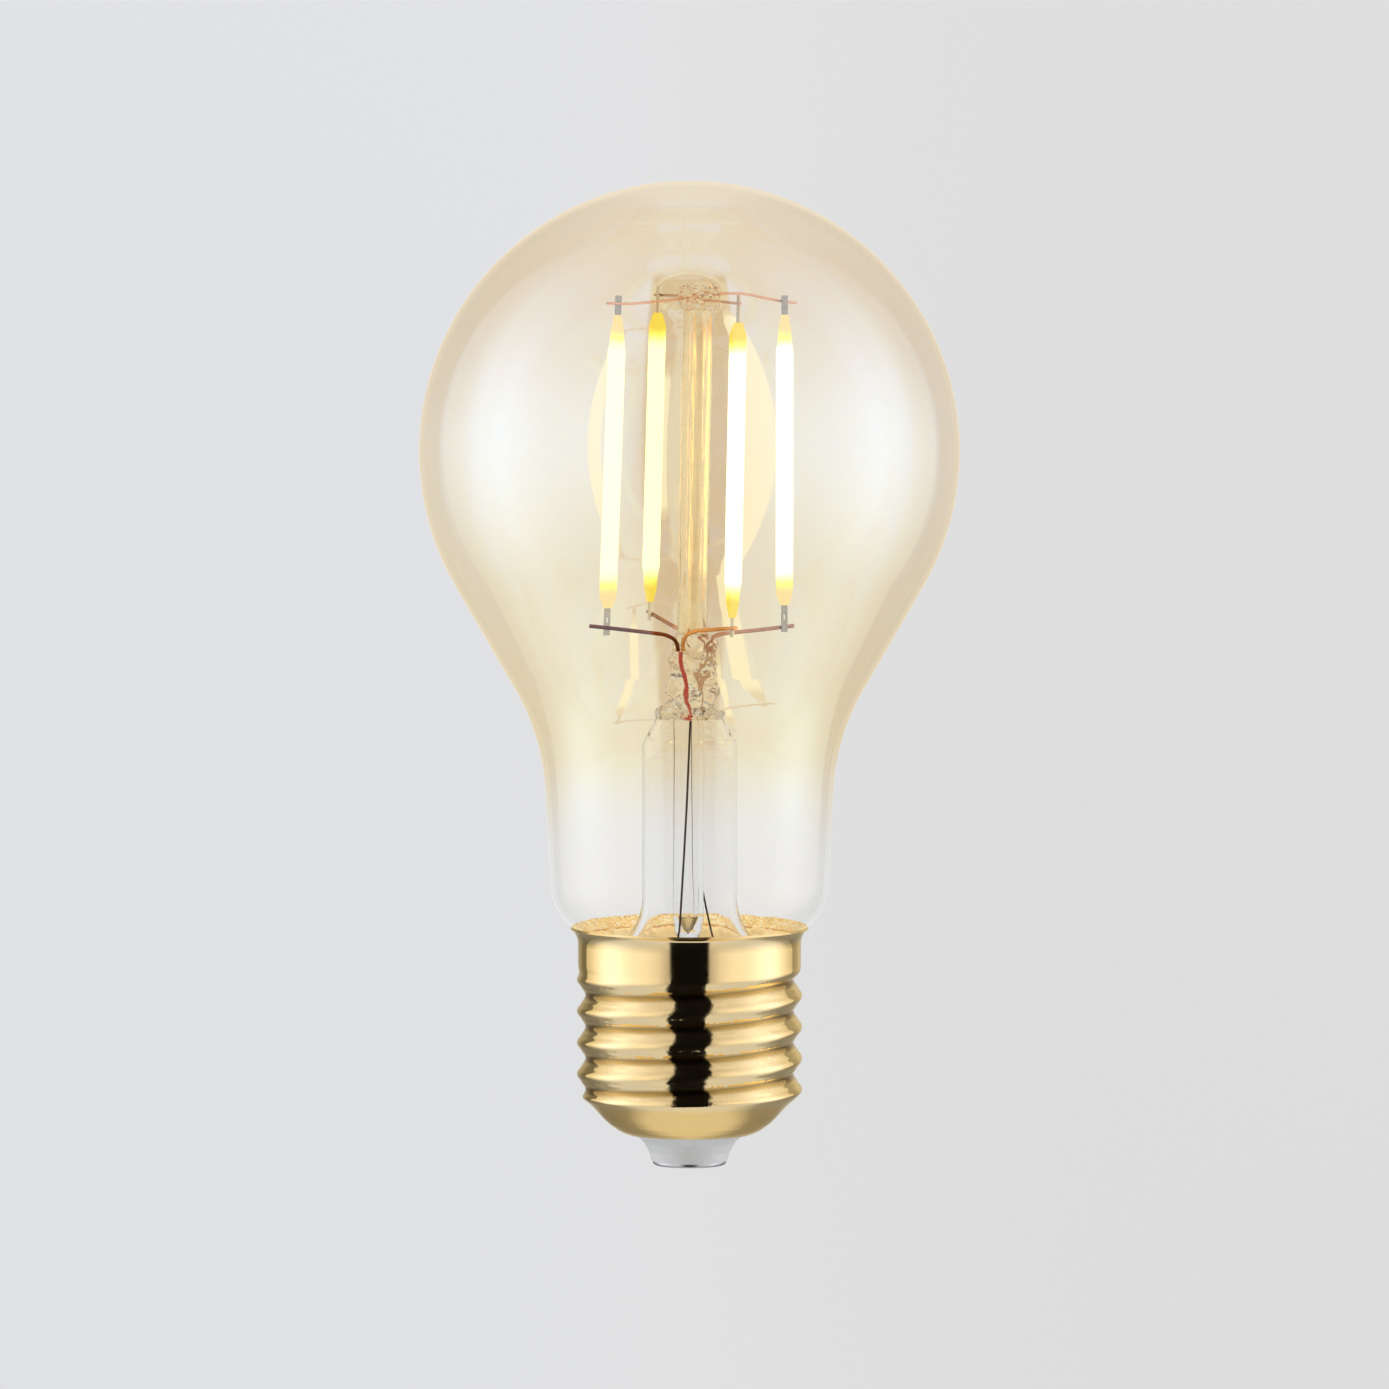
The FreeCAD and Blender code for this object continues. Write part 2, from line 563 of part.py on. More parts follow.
for i, (upper, lower, plain_up) in enumerate(FILAMENTS):
    name = "filament_%d" % (i + 1)
    a, b = VEC(*upper), VEC(*lower)
    middle = a.add(b).multiply(0.5)
    axis = a.sub(b).normalize()
    if plain_up:
        axis = axis.multiply(-1.0)
    radial = VEC(middle.x - 0.7, middle.y, 0.0).normalize()
    across = axis.cross(radial).normalize()
    radial = across.cross(axis).normalize()
    matrix = FreeCAD.Matrix(
        radial.x, across.x, axis.x, 0,
        radial.y, across.y, axis.y, 0,
        radial.z, across.z, axis.z, 0,
        0, 0, 0, 1)
    # the tab is welded on the side of its wire: half a tab and half a wire off it
    side = across.multiply(0.33)
    place = FreeCAD.Placement(middle.sub(VEC(axis).multiply(NUM["filament_length"] / 2.0)).add(side),
                              FreeCAD.Placement(matrix).Rotation)

    tabs = new_body(name + "_tabs")
    padded(name + "_plain_tab", rect(-tw / 2, 0.001, tw / 2, pt + bury), tt, "XZ_Plane", None, tabs, True)
    slot_lo = fl - st + 1.05
    slot_half = dim("slot_width") / 2
    sk = sketch_loop(tabs, name + "_slot_tab_outline", "XZ_Plane", rect(-tw / 2, fl - st - bury, tw / 2, fl))
    slot_hi = slot_lo + dim("slot_length")
    nick = slot_half * 0.6
    add_loop(sk, [
        (-slot_half, slot_lo + nick),
        (nick - slot_half, slot_lo),
        (slot_half - nick, slot_lo),
        (slot_half, slot_lo + nick),
        (slot_half, slot_hi - nick),
        (slot_half - nick, slot_hi),
        (nick - slot_half, slot_hi),
        (-slot_half, slot_hi - nick),
    ])
    pad = tabs.newObject("PartDesign::Pad", name + "_slot_tab_pad")
    pad.Profile = sk
    pad.Length = tt.value
    pad.setExpression("Length", tt.text)
    pad.Midplane = True
    tabs.Tip = pad
    tabs.Placement = place
    keep(name + "_tabs", tabs)

    strip_lo = pt + bury + 0.05
    strip_hi = fl - st - bury - 0.05
    strip = padded(name + "_strip",
                   rect(-dim("strip_width") / 2, -dim("strip_thick") / 2, dim("strip_width") / 2, dim("strip_thick") / 2),
                   strip_hi - strip_lo, "XY_Plane", strip_lo.value)
    strip.Placement = place
    keep(name + "_substrate", strip)

    chips = new_body(name + "_led_chips")
    top = dim("strip_thick") / 2
    padded(name + "_chip", rect(-dim("chip_wide") / 2, top + 0.005, dim("chip_wide") / 2, top + 0.005 + dim("chip_thick")),
           dim("chip_long"), "XY_Plane", (strip_lo + 1.05).value, chips)
    doc.recompute()
    run = chips.newObject("PartDesign::LinearPattern", name + "_chip_row")
    run.Originals = [chips.Group[-2]]
    run.Direction = (plane_of(chips, "Z_Axis"), [""])
    run.Length = NUM["chip_pitch"] * (NUM["chip_count"] - 1)
    run.setExpression("Length", "Dims.chip_pitch * (Dims.chip_count - 1)")
    run.Occurrences = int(NUM["chip_count"])
    chips.Tip = run
    chips.Placement = place
    keep(name + "_led_chips", chips)

    lo, hi = pt, fl - st
    coat = revolved(name + "_coat", [
        (0, lo),
        (0.42, lo),
        (0.56, lo + 0.75),
        (0.76, lo + 1.75, 9.0, "right"),
        (fra, lo + 4.1),
        (fra, hi - 2.2, 2.6, "left"),
        (fra - 0.24, hi - 0.72, 1.15, "left"),
        (0.42, hi),
        (0, hi),
    ])
    coat.Placement = place
    keep(name + "_coating", cut_by(name + "_cover", coat, [tabs, strip, chips]))

# ================================================================ screw cap
# The shell is one drawn sheet: a dished foot, a rolled right-hand thread that runs out
# into a plain skirt, and a turned-out lip. Its two skins are periodic spline surfaces
# one sheet thickness apart.
def ramp(x, lo, hi):
    t = max(0.0, min(1.0, (x - lo) / (hi - lo)))
    return t * t * (3.0 - 2.0 * t)


def polyline(table, z):
    if z <= table[0][0]:
        return table[0][1]
    for (z0, r0), (z1, r1) in zip(table, table[1:]):
        if z <= z1:
            return r0 + (r1 - r0) * (z - z0) / (z1 - z0)
    return table[-1][1]


FOOT_UP, FOOT_R = NUM["shell_foot_up"], NUM["shell_foot_radius"]
LIP_UP, LIP_R = NUM["shell_lip_up"], NUM["shell_lip_radius"]
CREST = NUM["crest_radius"]
DEPTH = NUM["thread_depth"]
PITCH = NUM["thread_pitch"]
DISH = [(FOOT_UP, FOOT_R), (4.3, 8.5), (5.0, 9.42), (5.7, 10.12), (6.4, 10.72), (7.07, 11.38), (7.77, 12.2), (8.5, 13.0), (9.3, 13.9), (40.0, 45.0)]
SKIRT_R, SKIRT_UP = NUM["skirt_radius"], NUM["skirt_foot_up"]
STEP = 0.02
SKIRT = [(21.4, CREST), (22.2, CREST - 0.04), (23.0, SKIRT_R - STEP), (40.0, SKIRT_R - STEP)]


def shell_radius(turn, z):
    """Outer radius of the shell at a turn (in whole turns) and a height."""
    phase = 2 * math.pi * ((z - NUM["thread_crest_up"]) / PITCH - turn)
    wave = 0.5 - 0.5 * math.cos(phase)
    wave = wave + 0.06 * math.sin(phase) * math.sin(phase) * (1 if wave < 0.5 else -1)
    fade = 1.0 - ramp(z, 21.55, 23.1)
    base = polyline(SKIRT, z)
    threaded = base - DEPTH * fade * wave
    dish = polyline(DISH, z)
    blend = 0.35
    h = max(blend - abs(dish - threaded), 0.0) / blend
    return min(dish, threaded) - h * h * blend * 0.25


TURNS = 60
heights = []
z = FOOT_UP
while z < SKIRT_UP - 1e-6:
    heights.append(z)
    z += 0.1 if z < 5.4 else 0.2
heights[-1] = SKIRT_UP - 0.1
heights.append(SKIRT_UP)


def skin(offset):
    """Periodic spline skin, set in from the outer one along its own normal."""
    wide = 3.0 / (2.0 + math.cos(2 * math.pi / TURNS))
    rows = []
    for k in range(TURNS):
        turn = k / float(TURNS)
        column = []
        radii = [shell_radius(turn, zz) for zz in heights]
        for i, zz in enumerate(heights):
            lo, hi = max(i - 1, 0), min(i + 1, len(heights) - 1)
            dr, dz = radii[hi] - radii[lo], heights[hi] - heights[lo]
            length = math.hypot(dr, dz)
            r = radii[i] - offset * dz / length
            up = zz + offset * dr / length
            angle = 2 * math.pi * turn
            column.append(VEC(r * wide * math.cos(angle), r * wide * math.sin(angle), up))
        rows.append(column)
    count = len(heights)
    surface = Part.BSplineSurface()
    surface.buildFromPolesMultsKnots(
        rows,
        [1] * (TURNS + 1), [4] + [1] * (count - 4) + [4],
        [float(k) for k in range(TURNS + 1)], [float(k) for k in range(count - 2)],
        True, False, 3, 3)
    return surface.toShape()


outer_skin = skin(0.0)
inner_skin = skin(NUM["shell_wall"])


def rim(face, top):
    edges = [e for e in face.Edges if len(e.Vertexes) == 1 and not e.isSeam(face)]
    edges.sort(key=lambda e: e.BoundBox.Center.z)
    return edges[-1] if top else edges[0]


# Plain skirt and lip: one profile turned about the axis, up the outer side, over the
# lip's edge and down the inner side.
SHEET = NUM["shell_wall"] + 2 * STEP
lip_way = math.radians(52.0)
lip_bend = (LIP_R - SKIRT_R) / (1.0 - math.cos(lip_way))
lip_start = LIP_UP - lip_bend * math.sin(lip_way)
out_a, out_b = VEC(SKIRT_R, 0, SKIRT_UP), VEC(SKIRT_R, 0, lip_start)
bend_centre = VEC(SKIRT_R + lip_bend, 0, lip_start)


def on_bend(radius, angle):
    return VEC(bend_centre.x - radius * math.cos(angle), 0, bend_centre.z + radius * math.sin(angle))


out_mid, out_c = on_bend(lip_bend, lip_way / 2), on_bend(lip_bend, lip_way)
in_c, in_mid = on_bend(lip_bend + SHEET, lip_way), on_bend(lip_bend + SHEET, lip_way / 2)
in_b, in_a = VEC(SKIRT_R - SHEET, 0, lip_start), VEC(SKIRT_R - SHEET, 0, SKIRT_UP)
lip_profile = Part.Wire([
    Part.makeLine(out_a, out_b), Part.Arc(out_b, out_mid, out_c).toShape(), Part.makeLine(out_c, in_c),
    Part.Arc(in_c, in_mid, in_b).toShape(), Part.makeLine(in_b, in_a), Part.makeLine(in_a, out_a)])
skirt = Part.Face(lip_profile).revolve(VEC(0, 0, 0), VEC(0, 0, 1), 360)

# The threaded part ends in a flat ring that lies within the skirt's own flat ring, and
# the two are fused there.
foot_ring = Part.makeRuledSurface(rim(outer_skin, False), rim(inner_skin, False))
top_ring = Part.Face([Part.Wire(rim(outer_skin, True)), Part.Wire(rim(inner_skin, True))])
top_ring.validate()
shell = Part.makeShell([outer_skin, inner_skin, foot_ring, top_ring])
shell.sewShape()
threaded = Part.makeSolid(shell if isinstance(shell, Part.Shell) else shell.Shells[0])
if threaded.Volume < 0:
    threaded.reverse()
shell_solid = threaded.fuse(skirt).Solids[0]
screw_shell = doc.addObject("Part::Feature", "screw_shell")
screw_shell.Shape = shell_solid
screw_shell.Placement = FreeCAD.Placement()
keep("screw_shell", screw_shell)

# Insulator: moulded disc that fills the dished foot and carries the contact.
pin_bore = dim("pin_radius") + 0.05
insulator = revolved("insulator", [
    (pin_bore, dim("contact_up") + dim("contact_thick") + 0.01),
    (dim("contact_radius") + 0.1, dim("contact_up") + dim("contact_thick") + 0.01),
    (dim("contact_radius") + 0.45, 1.7),
    (5.3, 2.75, 2.6, "right"),
    (7.15, 3.72),
    (dim("shell_foot_radius") - 0.3, 3.98),
    (dim("shell_foot_radius") - 0.3, 4.5),
    (8.75, 5.45),
    (9.35, 6.4),
    (pin_bore, 6.4),
])
keep("cap_insulator", insulator)

# Contact disc with a turned-up edge and a hole for the pin.
cu, ct, cr = dim("contact_up"), dim("contact_thick"), dim("contact_radius")
eyelet = revolved("eyelet", [
    (dim("pin_radius") + 0.05, cu + 0.2),
    (dim("pin_head_radius") + 0.06, cu + 0.2),
    (dim("pin_head_radius") + 0.06, cu),
    (cr - 0.35, cu, 0.35, "left"),
    (cr, cu + 0.35),
    (cr, cu + ct),
    (dim("pin_radius") + 0.05, cu + ct),
])
keep("contact_eyelet", eyelet)

contact_pin = revolved("contact_pin", [
    (0, 0),
    (dim("pin_head_radius") - 0.12, 0),
    (dim("pin_head_radius"), 0.12),
    (dim("pin_head_radius"), cu + 0.19),
    (dim("pin_radius"), cu + 0.19),
    (dim("pin_radius"), dim("pin_top_up") - 0.5),
    (dim("pin_radius") - 0.35, dim("pin_top_up")),
    (0, dim("pin_top_up")),
])
keep("contact_pin", contact_pin)

# Cement ring between the glass throat and the skirt.
cement_out = dim("skirt_radius") - dim("shell_wall") - 0.08
keep("basing_cement", revolved("cement", [
    (dim("throat_radius") + 0.02, 22.4),
    (cement_out - 0.5, 22.4),
    (cement_out - 0.2, 23.1),
    (cement_out, 23.7),
    (cement_out, 26.1),
    (cement_out + 0.1, 26.45),
    (12.46, 26.45),
    (dim("throat_radius") + 0.34, 25.85),
    (dim("throat_radius") + 0.1, 25.0),
    (dim("throat_radius") + 0.02, 24.6),
]))

# ================================================================ driver in the cap
sleeve_r, sleeve_w = dim("sleeve_radius"), dim("sleeve_wall")
keep("insulating_sleeve", revolved("sleeve", [
    (sleeve_r - sleeve_w, dim("sleeve_foot_up")),
    (sleeve_r, dim("sleeve_foot_up")),
    (sleeve_r, dim("sleeve_top_up")),
    (sleeve_r - sleeve_w, dim("sleeve_top_up")),
]))

BOARD_BACK, BOARD_FRONT, BOARD_FOOT = -1.5, -2.5, 7.2
keep("driver_pcb", boxed("driver_pcb", dim("board_width") / -2, BOARD_FRONT, BOARD_FOOT,
                         dim("board_width"), dim("board_thick"), dim("board_tall")))


def can_capacitor(name, x, y, foot, radius, tall):
    """Electrolytic can with a crimp groove, standing on two short legs bent to the board."""
    body = revolved(name, [
        (0, foot),
        (radius - 0.5, foot),
        (radius - 0.25, foot + 0.25),
        (radius, foot + 0.45),
        (radius, foot + 1.0),
        (radius - 0.3, foot + 1.4, 0.45, "right"),
        (radius, foot + 1.8),
        (radius, foot + tall - 0.3, 0.3, "left"),
        (radius - 0.3, foot + tall),
        (0, foot + tall),
    ])
    body.Placement = FreeCAD.Placement(VEC(x, y, 0), FreeCAD.Rotation())
    return body


keep("input_capacitor", can_capacitor("input_capacitor", -4.45, -5.85, 8.6, 3.1, 9.0))
keep("output_capacitor", can_capacitor("output_capacitor", 4.9, -5.4, 9.6, 2.5, 7.6))

# Four-lead bridge rectifier, driver chip and dimmer chip: moulded bodies with gull legs.
def leaded_chip(name, x, z, wide, tall, thick, legs, face, out):
    """Chip on a board face. face is the board's y, out is -1 or +1 away from it."""
    body = new_body(name)
    gap = 0.12
    y0, y1 = (face + out * gap, face + out * (gap + thick))
    y_lo, y_hi = min(y0, y1), max(y0, y1)
    padded(name + "_body", [(x - wide / 2, y_lo), (x + wide / 2, y_lo), (x + wide / 2, y_hi), (x - wide / 2, y_hi)],
           tall, "XY_Plane", z, body)
    leg_y0, leg_y1 = sorted((face + out * 0.01, face + out * (gap + thick * 0.55)))
    step = tall / legs
    for side in (-1, 1):
        sk = body.newObject("Sketcher::SketchObject", "%s_legs_%s" % (name, "left" if side < 0 else "right"))
        sk.AttachmentSupport = [(plane_of(body, "XZ_Plane"), "")]
        sk.MapMode = "FlatFace"
        sk.AttachmentOffset = FreeCAD.Placement(VEC(0, 0, -leg_y1), FreeCAD.Rotation())
        for k in range(legs):
            mid = z + step * (k + 0.5)
            inner = x + side * (wide / 2 - 0.1)
            outer = x + side * (wide / 2 + 0.75)
            lo, hi = min(inner, outer), max(inner, outer)
            add_loop(sk, rect(lo, mid - 0.2, hi, mid + 0.2))
        pad = body.newObject("PartDesign::Pad", sk.Name + "_pad")
        pad.Profile = sk
        pad.Length = leg_y1 - leg_y0
        body.Tip = pad
    return body


keep("bridge_rectifier", leaded_chip("bridge_rectifier", 0.35, 9.0, 2.4, 4.6, 2.2, 2, BOARD_FRONT, -1))
keep("driver_chip", leaded_chip("driver_chip", 4.6, 8.3, 3.4, 4.9, 1.5, 4, BOARD_BACK, 1))
keep("dimmer_chip", leaded_chip("dimmer_chip", -5.6, 8.2, 1.7, 2.9, 1.1, 3, BOARD_BACK, 1))

# Fusible resistor: axial body with end caps, lying across the top of the board's front.
res = revolved("fusible_resistor", [
    (0, -4.0), (0.28, -4.0), (0.28, -2.9), (0.95, -2.7), (1.1, -2.2), (1.1, -1.7), (0.9, -1.4),
    (0.9, 1.4), (1.1, 1.7), (1.1, 2.2), (0.95, 2.7), (0.28, 2.9), (0.28, 4.0), (0, 4.0)])
res.Placement = FreeCAD.Placement(VEC(2.9, -3.75, 19.25), FreeCAD.Rotation(VEC(0, 1, 0), 90))
keep("fusible_resistor", res)

# Power inductor: ferrite drum with its winding.
core = revolved("inductor_core", [
    (0, 0), (2.7, 0), (2.7, 0.8), (1.1, 0.8), (1.1, 3.4), (2.7, 3.4), (2.7, 4.2), (0, 4.2)])
core.Placement = FreeCAD.Placement(VEC(-4.9, BOARD_BACK + 4.35, 15.9), FreeCAD.Rotation(VEC(1, 0, 0), 90))
keep("inductor_core", core)
winding = revolved("inductor_winding", [
    (1.12, 0.82), (2.3, 0.82), (2.42, 1.2), (2.3, 1.5), (2.42, 1.8), (2.3, 2.1), (2.42, 2.4), (2.3, 2.7), (2.42, 3.0), (2.3, 3.38), (1.12, 3.38)])
winding.Placement = core.Placement
keep("inductor_winding", winding)

# Small chip resistors and capacitors on both faces of the driver board.
chip_parts = new_body("chip_parts")
SPOTS_BACK = [(0.4, 8.6), (0.4, 10.4), (0.4, 12.2), (7.6, 15.0), (5.6, 15.0), (-8.3, 9.0), (-8.3, 11.0)]
sk = chip_parts.newObject("Sketcher::SketchObject", "chip_parts_outline")
sk.AttachmentSupport = [(plane_of(chip_parts, "XZ_Plane"), "")]
sk.MapMode = "FlatFace"
sk.AttachmentOffset = FreeCAD.Placement(VEC(0, 0, -(BOARD_BACK + 0.62)), FreeCAD.Rotation())
for x, z in SPOTS_BACK:
    add_loop(sk, rect(x - 0.4, z - 0.75, x + 0.4, z + 0.75))
pad = chip_parts.newObject("PartDesign::Pad", "chip_parts_pad")
pad.Profile = sk
pad.Length = 0.6
chip_parts.Tip = pad
keep("chip_parts", chip_parts)

# Radio module: its own small board, parallel to the driver board, with a shield can.
MODULE_FRONT, MODULE_FOOT = 5.2, 7.6
keep("wifi_module_pcb", boxed("wifi_module_pcb", dim("module_width") / -2, MODULE_FRONT, MODULE_FOOT,
                              dim("module_width"), dim("module_thick"), dim("module_tall")))
shield_y = MODULE_FRONT + NUM["module_thick"] + 0.01
can = padded("wifi_module_shield", rect(-4.4, shield_y, 4.4, shield_y + 2.1), 8.0, "XY_Plane", 8.4)
doc.recompute()
hollow = can.newObject("PartDesign::Pocket", "shield_hollow")
sk = sketch_loop(can, "shield_hollow_outline", "XZ_Plane", rect(-4.2, 8.6, 4.2, 16.2), -shield_y)
hollow.Profile = sk
hollow.Length = 1.9
hollow.Reversed = False
can.Tip = hollow
keep("wifi_module_shield", can)

# Header pins from board to board.
pins = new_body("module_header_pins")
sk = pins.newObject("Sketcher::SketchObject", "module_header_pins_outline")
sk.AttachmentSupport = [(plane_of(pins, "XZ_Plane"), "")]
sk.MapMode = "FlatFace"
sk.AttachmentOffset = FreeCAD.Placement(VEC(0, 0, -(MODULE_FRONT - 0.02)), FreeCAD.Rotation())
for k in range(5):
    x = 1.6 + k * 1.27 - 2.0
    add_loop(sk, rect(x - 0.22, 18.3, x + 0.22, 18.74))
pad = pins.newObject("PartDesign::Pad", "module_header_pins_pad")
pad.Profile = sk
pad.Length = MODULE_FRONT - 0.02 - (BOARD_BACK + 0.02)
pins.Tip = pad
keep("module_header_pins", pins)

# Antenna wire: from the module's top edge up into the mouth of the flare.
keep("antenna_wire", bent_wire("antenna_wire", [(0.0, 6.42, 17.6), (0.0, 6.42, 20.4), (0.0, 4.6, 22.6), (-0.1, 3.4, 25.0)],
                               dim("antenna_radius")))
# Live wire from the pin to the board, neutral wire from the board to the shell.
keep("live_wire", bent_wire("live_wire", [(0.0, 0.0, 7.45), (0.0, 0.05, 9.2), (-1.6, -0.55, 10.8), (-2.6, -0.98, 12.6)], dim("hookup_radius")))
keep("neutral_wire", bent_wire("neutral_wire", [(7.6, -1.2, 17.6), (7.8, -1.2, 19.4), (9.3, -0.7, 21.2), (11.45, 0.0, 21.25)], dim("lead_radius")))

# ================================================================ checks and export
doc.recompute()
problems = []
for obj in doc.Objects:
    if "Invalid" in obj.State or "Error" in obj.State:
        problems.append("%s: %s" % (obj.Name, obj.State))
for node, obj in PARTS.items():
    shape = obj.Shape
    if shape.isNull() or not shape.isValid():
        problems.append("%s: null or invalid shape" % node)
    elif not shape.Solids or min(s.Volume for s in shape.Solids) <= 0:
        problems.append("%s: no solid volume" % node)
for name, sweep, length, radius in WIRE_CHECK:
    want = math.pi * radius * radius * length
    if abs(sweep.Shape.Volume - want) > 0.02 * want:
        problems.append("%s: volume %.4f, wanted %.4f" % (name, sweep.Shape.Volume, want))
if not can.Shape.Volume < 8.8 * 2.1 * 8.0 - 50.0:
    problems.append("wifi_module_shield: the hollow cuts nothing")
if problems:
    raise RuntimeError("; ".join(problems))

os.makedirs("parts", exist_ok=True)
for node, obj in PARTS.items():
    obj.Shape.exportStep("parts/%s.step" % node)
print(len(PARTS), "nodes written")
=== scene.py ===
import math

import bmesh
import bpy
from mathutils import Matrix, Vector, noise


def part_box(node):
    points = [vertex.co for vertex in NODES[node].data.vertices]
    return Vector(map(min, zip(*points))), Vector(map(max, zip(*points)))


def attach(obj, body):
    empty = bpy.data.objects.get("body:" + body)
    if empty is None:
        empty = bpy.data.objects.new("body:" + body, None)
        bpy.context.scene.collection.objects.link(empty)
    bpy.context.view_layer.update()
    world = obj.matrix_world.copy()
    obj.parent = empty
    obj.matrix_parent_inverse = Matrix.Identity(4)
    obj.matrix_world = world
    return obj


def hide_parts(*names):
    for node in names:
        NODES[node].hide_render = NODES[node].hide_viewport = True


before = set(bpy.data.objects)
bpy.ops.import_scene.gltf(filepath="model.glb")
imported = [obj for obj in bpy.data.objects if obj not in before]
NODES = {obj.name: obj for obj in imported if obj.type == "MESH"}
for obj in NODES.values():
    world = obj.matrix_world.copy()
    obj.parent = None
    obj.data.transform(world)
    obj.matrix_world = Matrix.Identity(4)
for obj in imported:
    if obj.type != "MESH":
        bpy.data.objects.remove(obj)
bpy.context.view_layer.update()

MM = 0.001


# ---------------------------------------------------------------- node helpers
def srgb(r, g, b):
    """A screen colour of 0..255 as scene-linear values."""
    def one(c):
        c = c / 255.0
        return c / 12.92 if c <= 0.04045 else ((c + 0.055) / 1.055) ** 2.4
    return (one(r), one(g), one(b), 1.0)


class Tree:
    """Short names for the shader nodes of one material."""

    def __init__(self, name):
        self.mat = bpy.data.materials.new(name)
        self.mat.use_nodes = True
        self.nt = self.mat.node_tree
        self.nt.nodes.clear()
        self.out = self.nt.nodes.new("ShaderNodeOutputMaterial")
        self.coords = self.nt.nodes.new("ShaderNodeTexCoord")

    def node(self, kind, **props):
        n = self.nt.nodes.new(kind)
        for k, v in props.items():
            setattr(n, k, v)
        return n

    def link(self, a, b):
        self.nt.links.new(a, b)

    def place(self):
        return self.coords.outputs["Object"]

    def stretched(self, scale):
        m = self.node("ShaderNodeMapping")
        m.inputs["Scale"].default_value = scale
        self.link(self.place(), m.inputs["Vector"])
        return m.outputs[0]

    def noise(self, scale, detail=3.0, rough=0.5, vector=None, distortion=0.0):
        n = self.node("ShaderNodeTexNoise")
        n.inputs["Scale"].default_value = scale
        n.inputs["Detail"].default_value = detail
        n.inputs["Roughness"].default_value = rough
        n.inputs["Distortion"].default_value = distortion
        self.link(vector or self.place(), n.inputs["Vector"])
        return n.outputs["Fac"]

    def ramp(self, value, stops, ease="LINEAR"):
        r = self.node("ShaderNodeValToRGB")
        r.color_ramp.interpolation = ease
        e = r.color_ramp.elements
        while len(e) > 1:
            e.remove(e[-1])
        e[0].position, e[0].color = stops[0]
        for pos, colour in stops[1:]:
            x = e.new(pos)
            x.color = colour
        self.link(value, r.inputs["Fac"])
        return r.outputs["Color"]

    def spread(self, value, a, b, c, d, ease="LINEAR"):
        """value's range a..b onto c..d."""
        m = self.node("ShaderNodeMapRange", interpolation_type=ease)
        for i, x in enumerate((a, b, c, d)):
            m.inputs[i + 1].default_value = x
        self.link(value, m.inputs[0])
        return m.outputs[0]

    def maths(self, op, a, b=None, clamp=False):
        m = self.node("ShaderNodeMath", operation=op, use_clamp=clamp)
        for i, x in enumerate((a, b)):
            if x is None:
                continue
            if isinstance(x, (int, float)):
                m.inputs[i].default_value = x
            else:
                self.link(x, m.inputs[i])
        return m.outputs[0]

    def mixed(self, fac, a, b, blend="MIX"):
        m = self.node("ShaderNodeMix", data_type="RGBA", blend_type=blend)
        for socket, x in ((m.inputs[0], fac), (m.inputs[6], a), (m.inputs[7], b)):
            if isinstance(x, (int, float, tuple)):
                socket.default_value = x
            else:
                self.link(x, socket)
        return m.outputs[2]

    def height(self):
        s = self.node("ShaderNodeSeparateXYZ")
        self.link(self.place(), s.inputs[0])
        return s.outputs

    def bump(self, value, distance, strength=1.0):
        b = self.node("ShaderNodeBump")
        b.inputs["Strength"].default_value = strength
        b.inputs["Distance"].default_value = distance
        self.link(value, b.inputs["Height"])
        return b.outputs[0]

    def principled(self, **values):
        p = self.node("ShaderNodeBsdfPrincipled")
        for k, v in values.items():
            socket = p.inputs[k]
            if isinstance(v, (int, float, tuple)):
                socket.default_value = v
            else:
                self.link(v, socket)
        return p

    def done(self, shader):
        self.link(shader, self.out.inputs["Surface"])
        return self.mat


def metal(name, light, dark, rough=(0.12, 0.22), scale=900.0, bump=0.0, stretch=None):
    t = Tree(name)
    where = t.stretched(stretch) if stretch else None
    n = t.noise(scale, 4.0, 0.55, where)
    big = t.noise(scale * 0.15, 2.0, 0.5)
    colour = t.mixed(t.spread(big, 0.3, 0.7, 0.0, 1.0), light, dark)
    values = dict(Metallic=1.0)
    values["Base Color"] = colour
    values["Roughness"] = t.spread(n, 0.3, 0.7, rough[0], rough[1])
    p = t.principled(**values)
    if bump:
        t.link(t.bump(n, bump), p.inputs["Normal"])
    return t.done(p.outputs[0])


def solid(name, light, dark, rough=(0.4, 0.6), scale=1500.0, bump=0.0, spec=0.5, stretch=None):
    t = Tree(name)
    where = t.stretched(stretch) if stretch else None
    n = t.noise(scale, 4.0, 0.6, where)
    colour = t.mixed(t.spread(n, 0.3, 0.7, 0.0, 1.0), light, dark)
    values = {"Base Color": colour, "Roughness": t.spread(n, 0.3, 0.7, rough[0], rough[1]), "Specular IOR Level": spec}
    p = t.principled(**values)
    if bump:
        t.link(t.bump(n, bump), p.inputs["Normal"])
    return t.done(p.outputs[0])


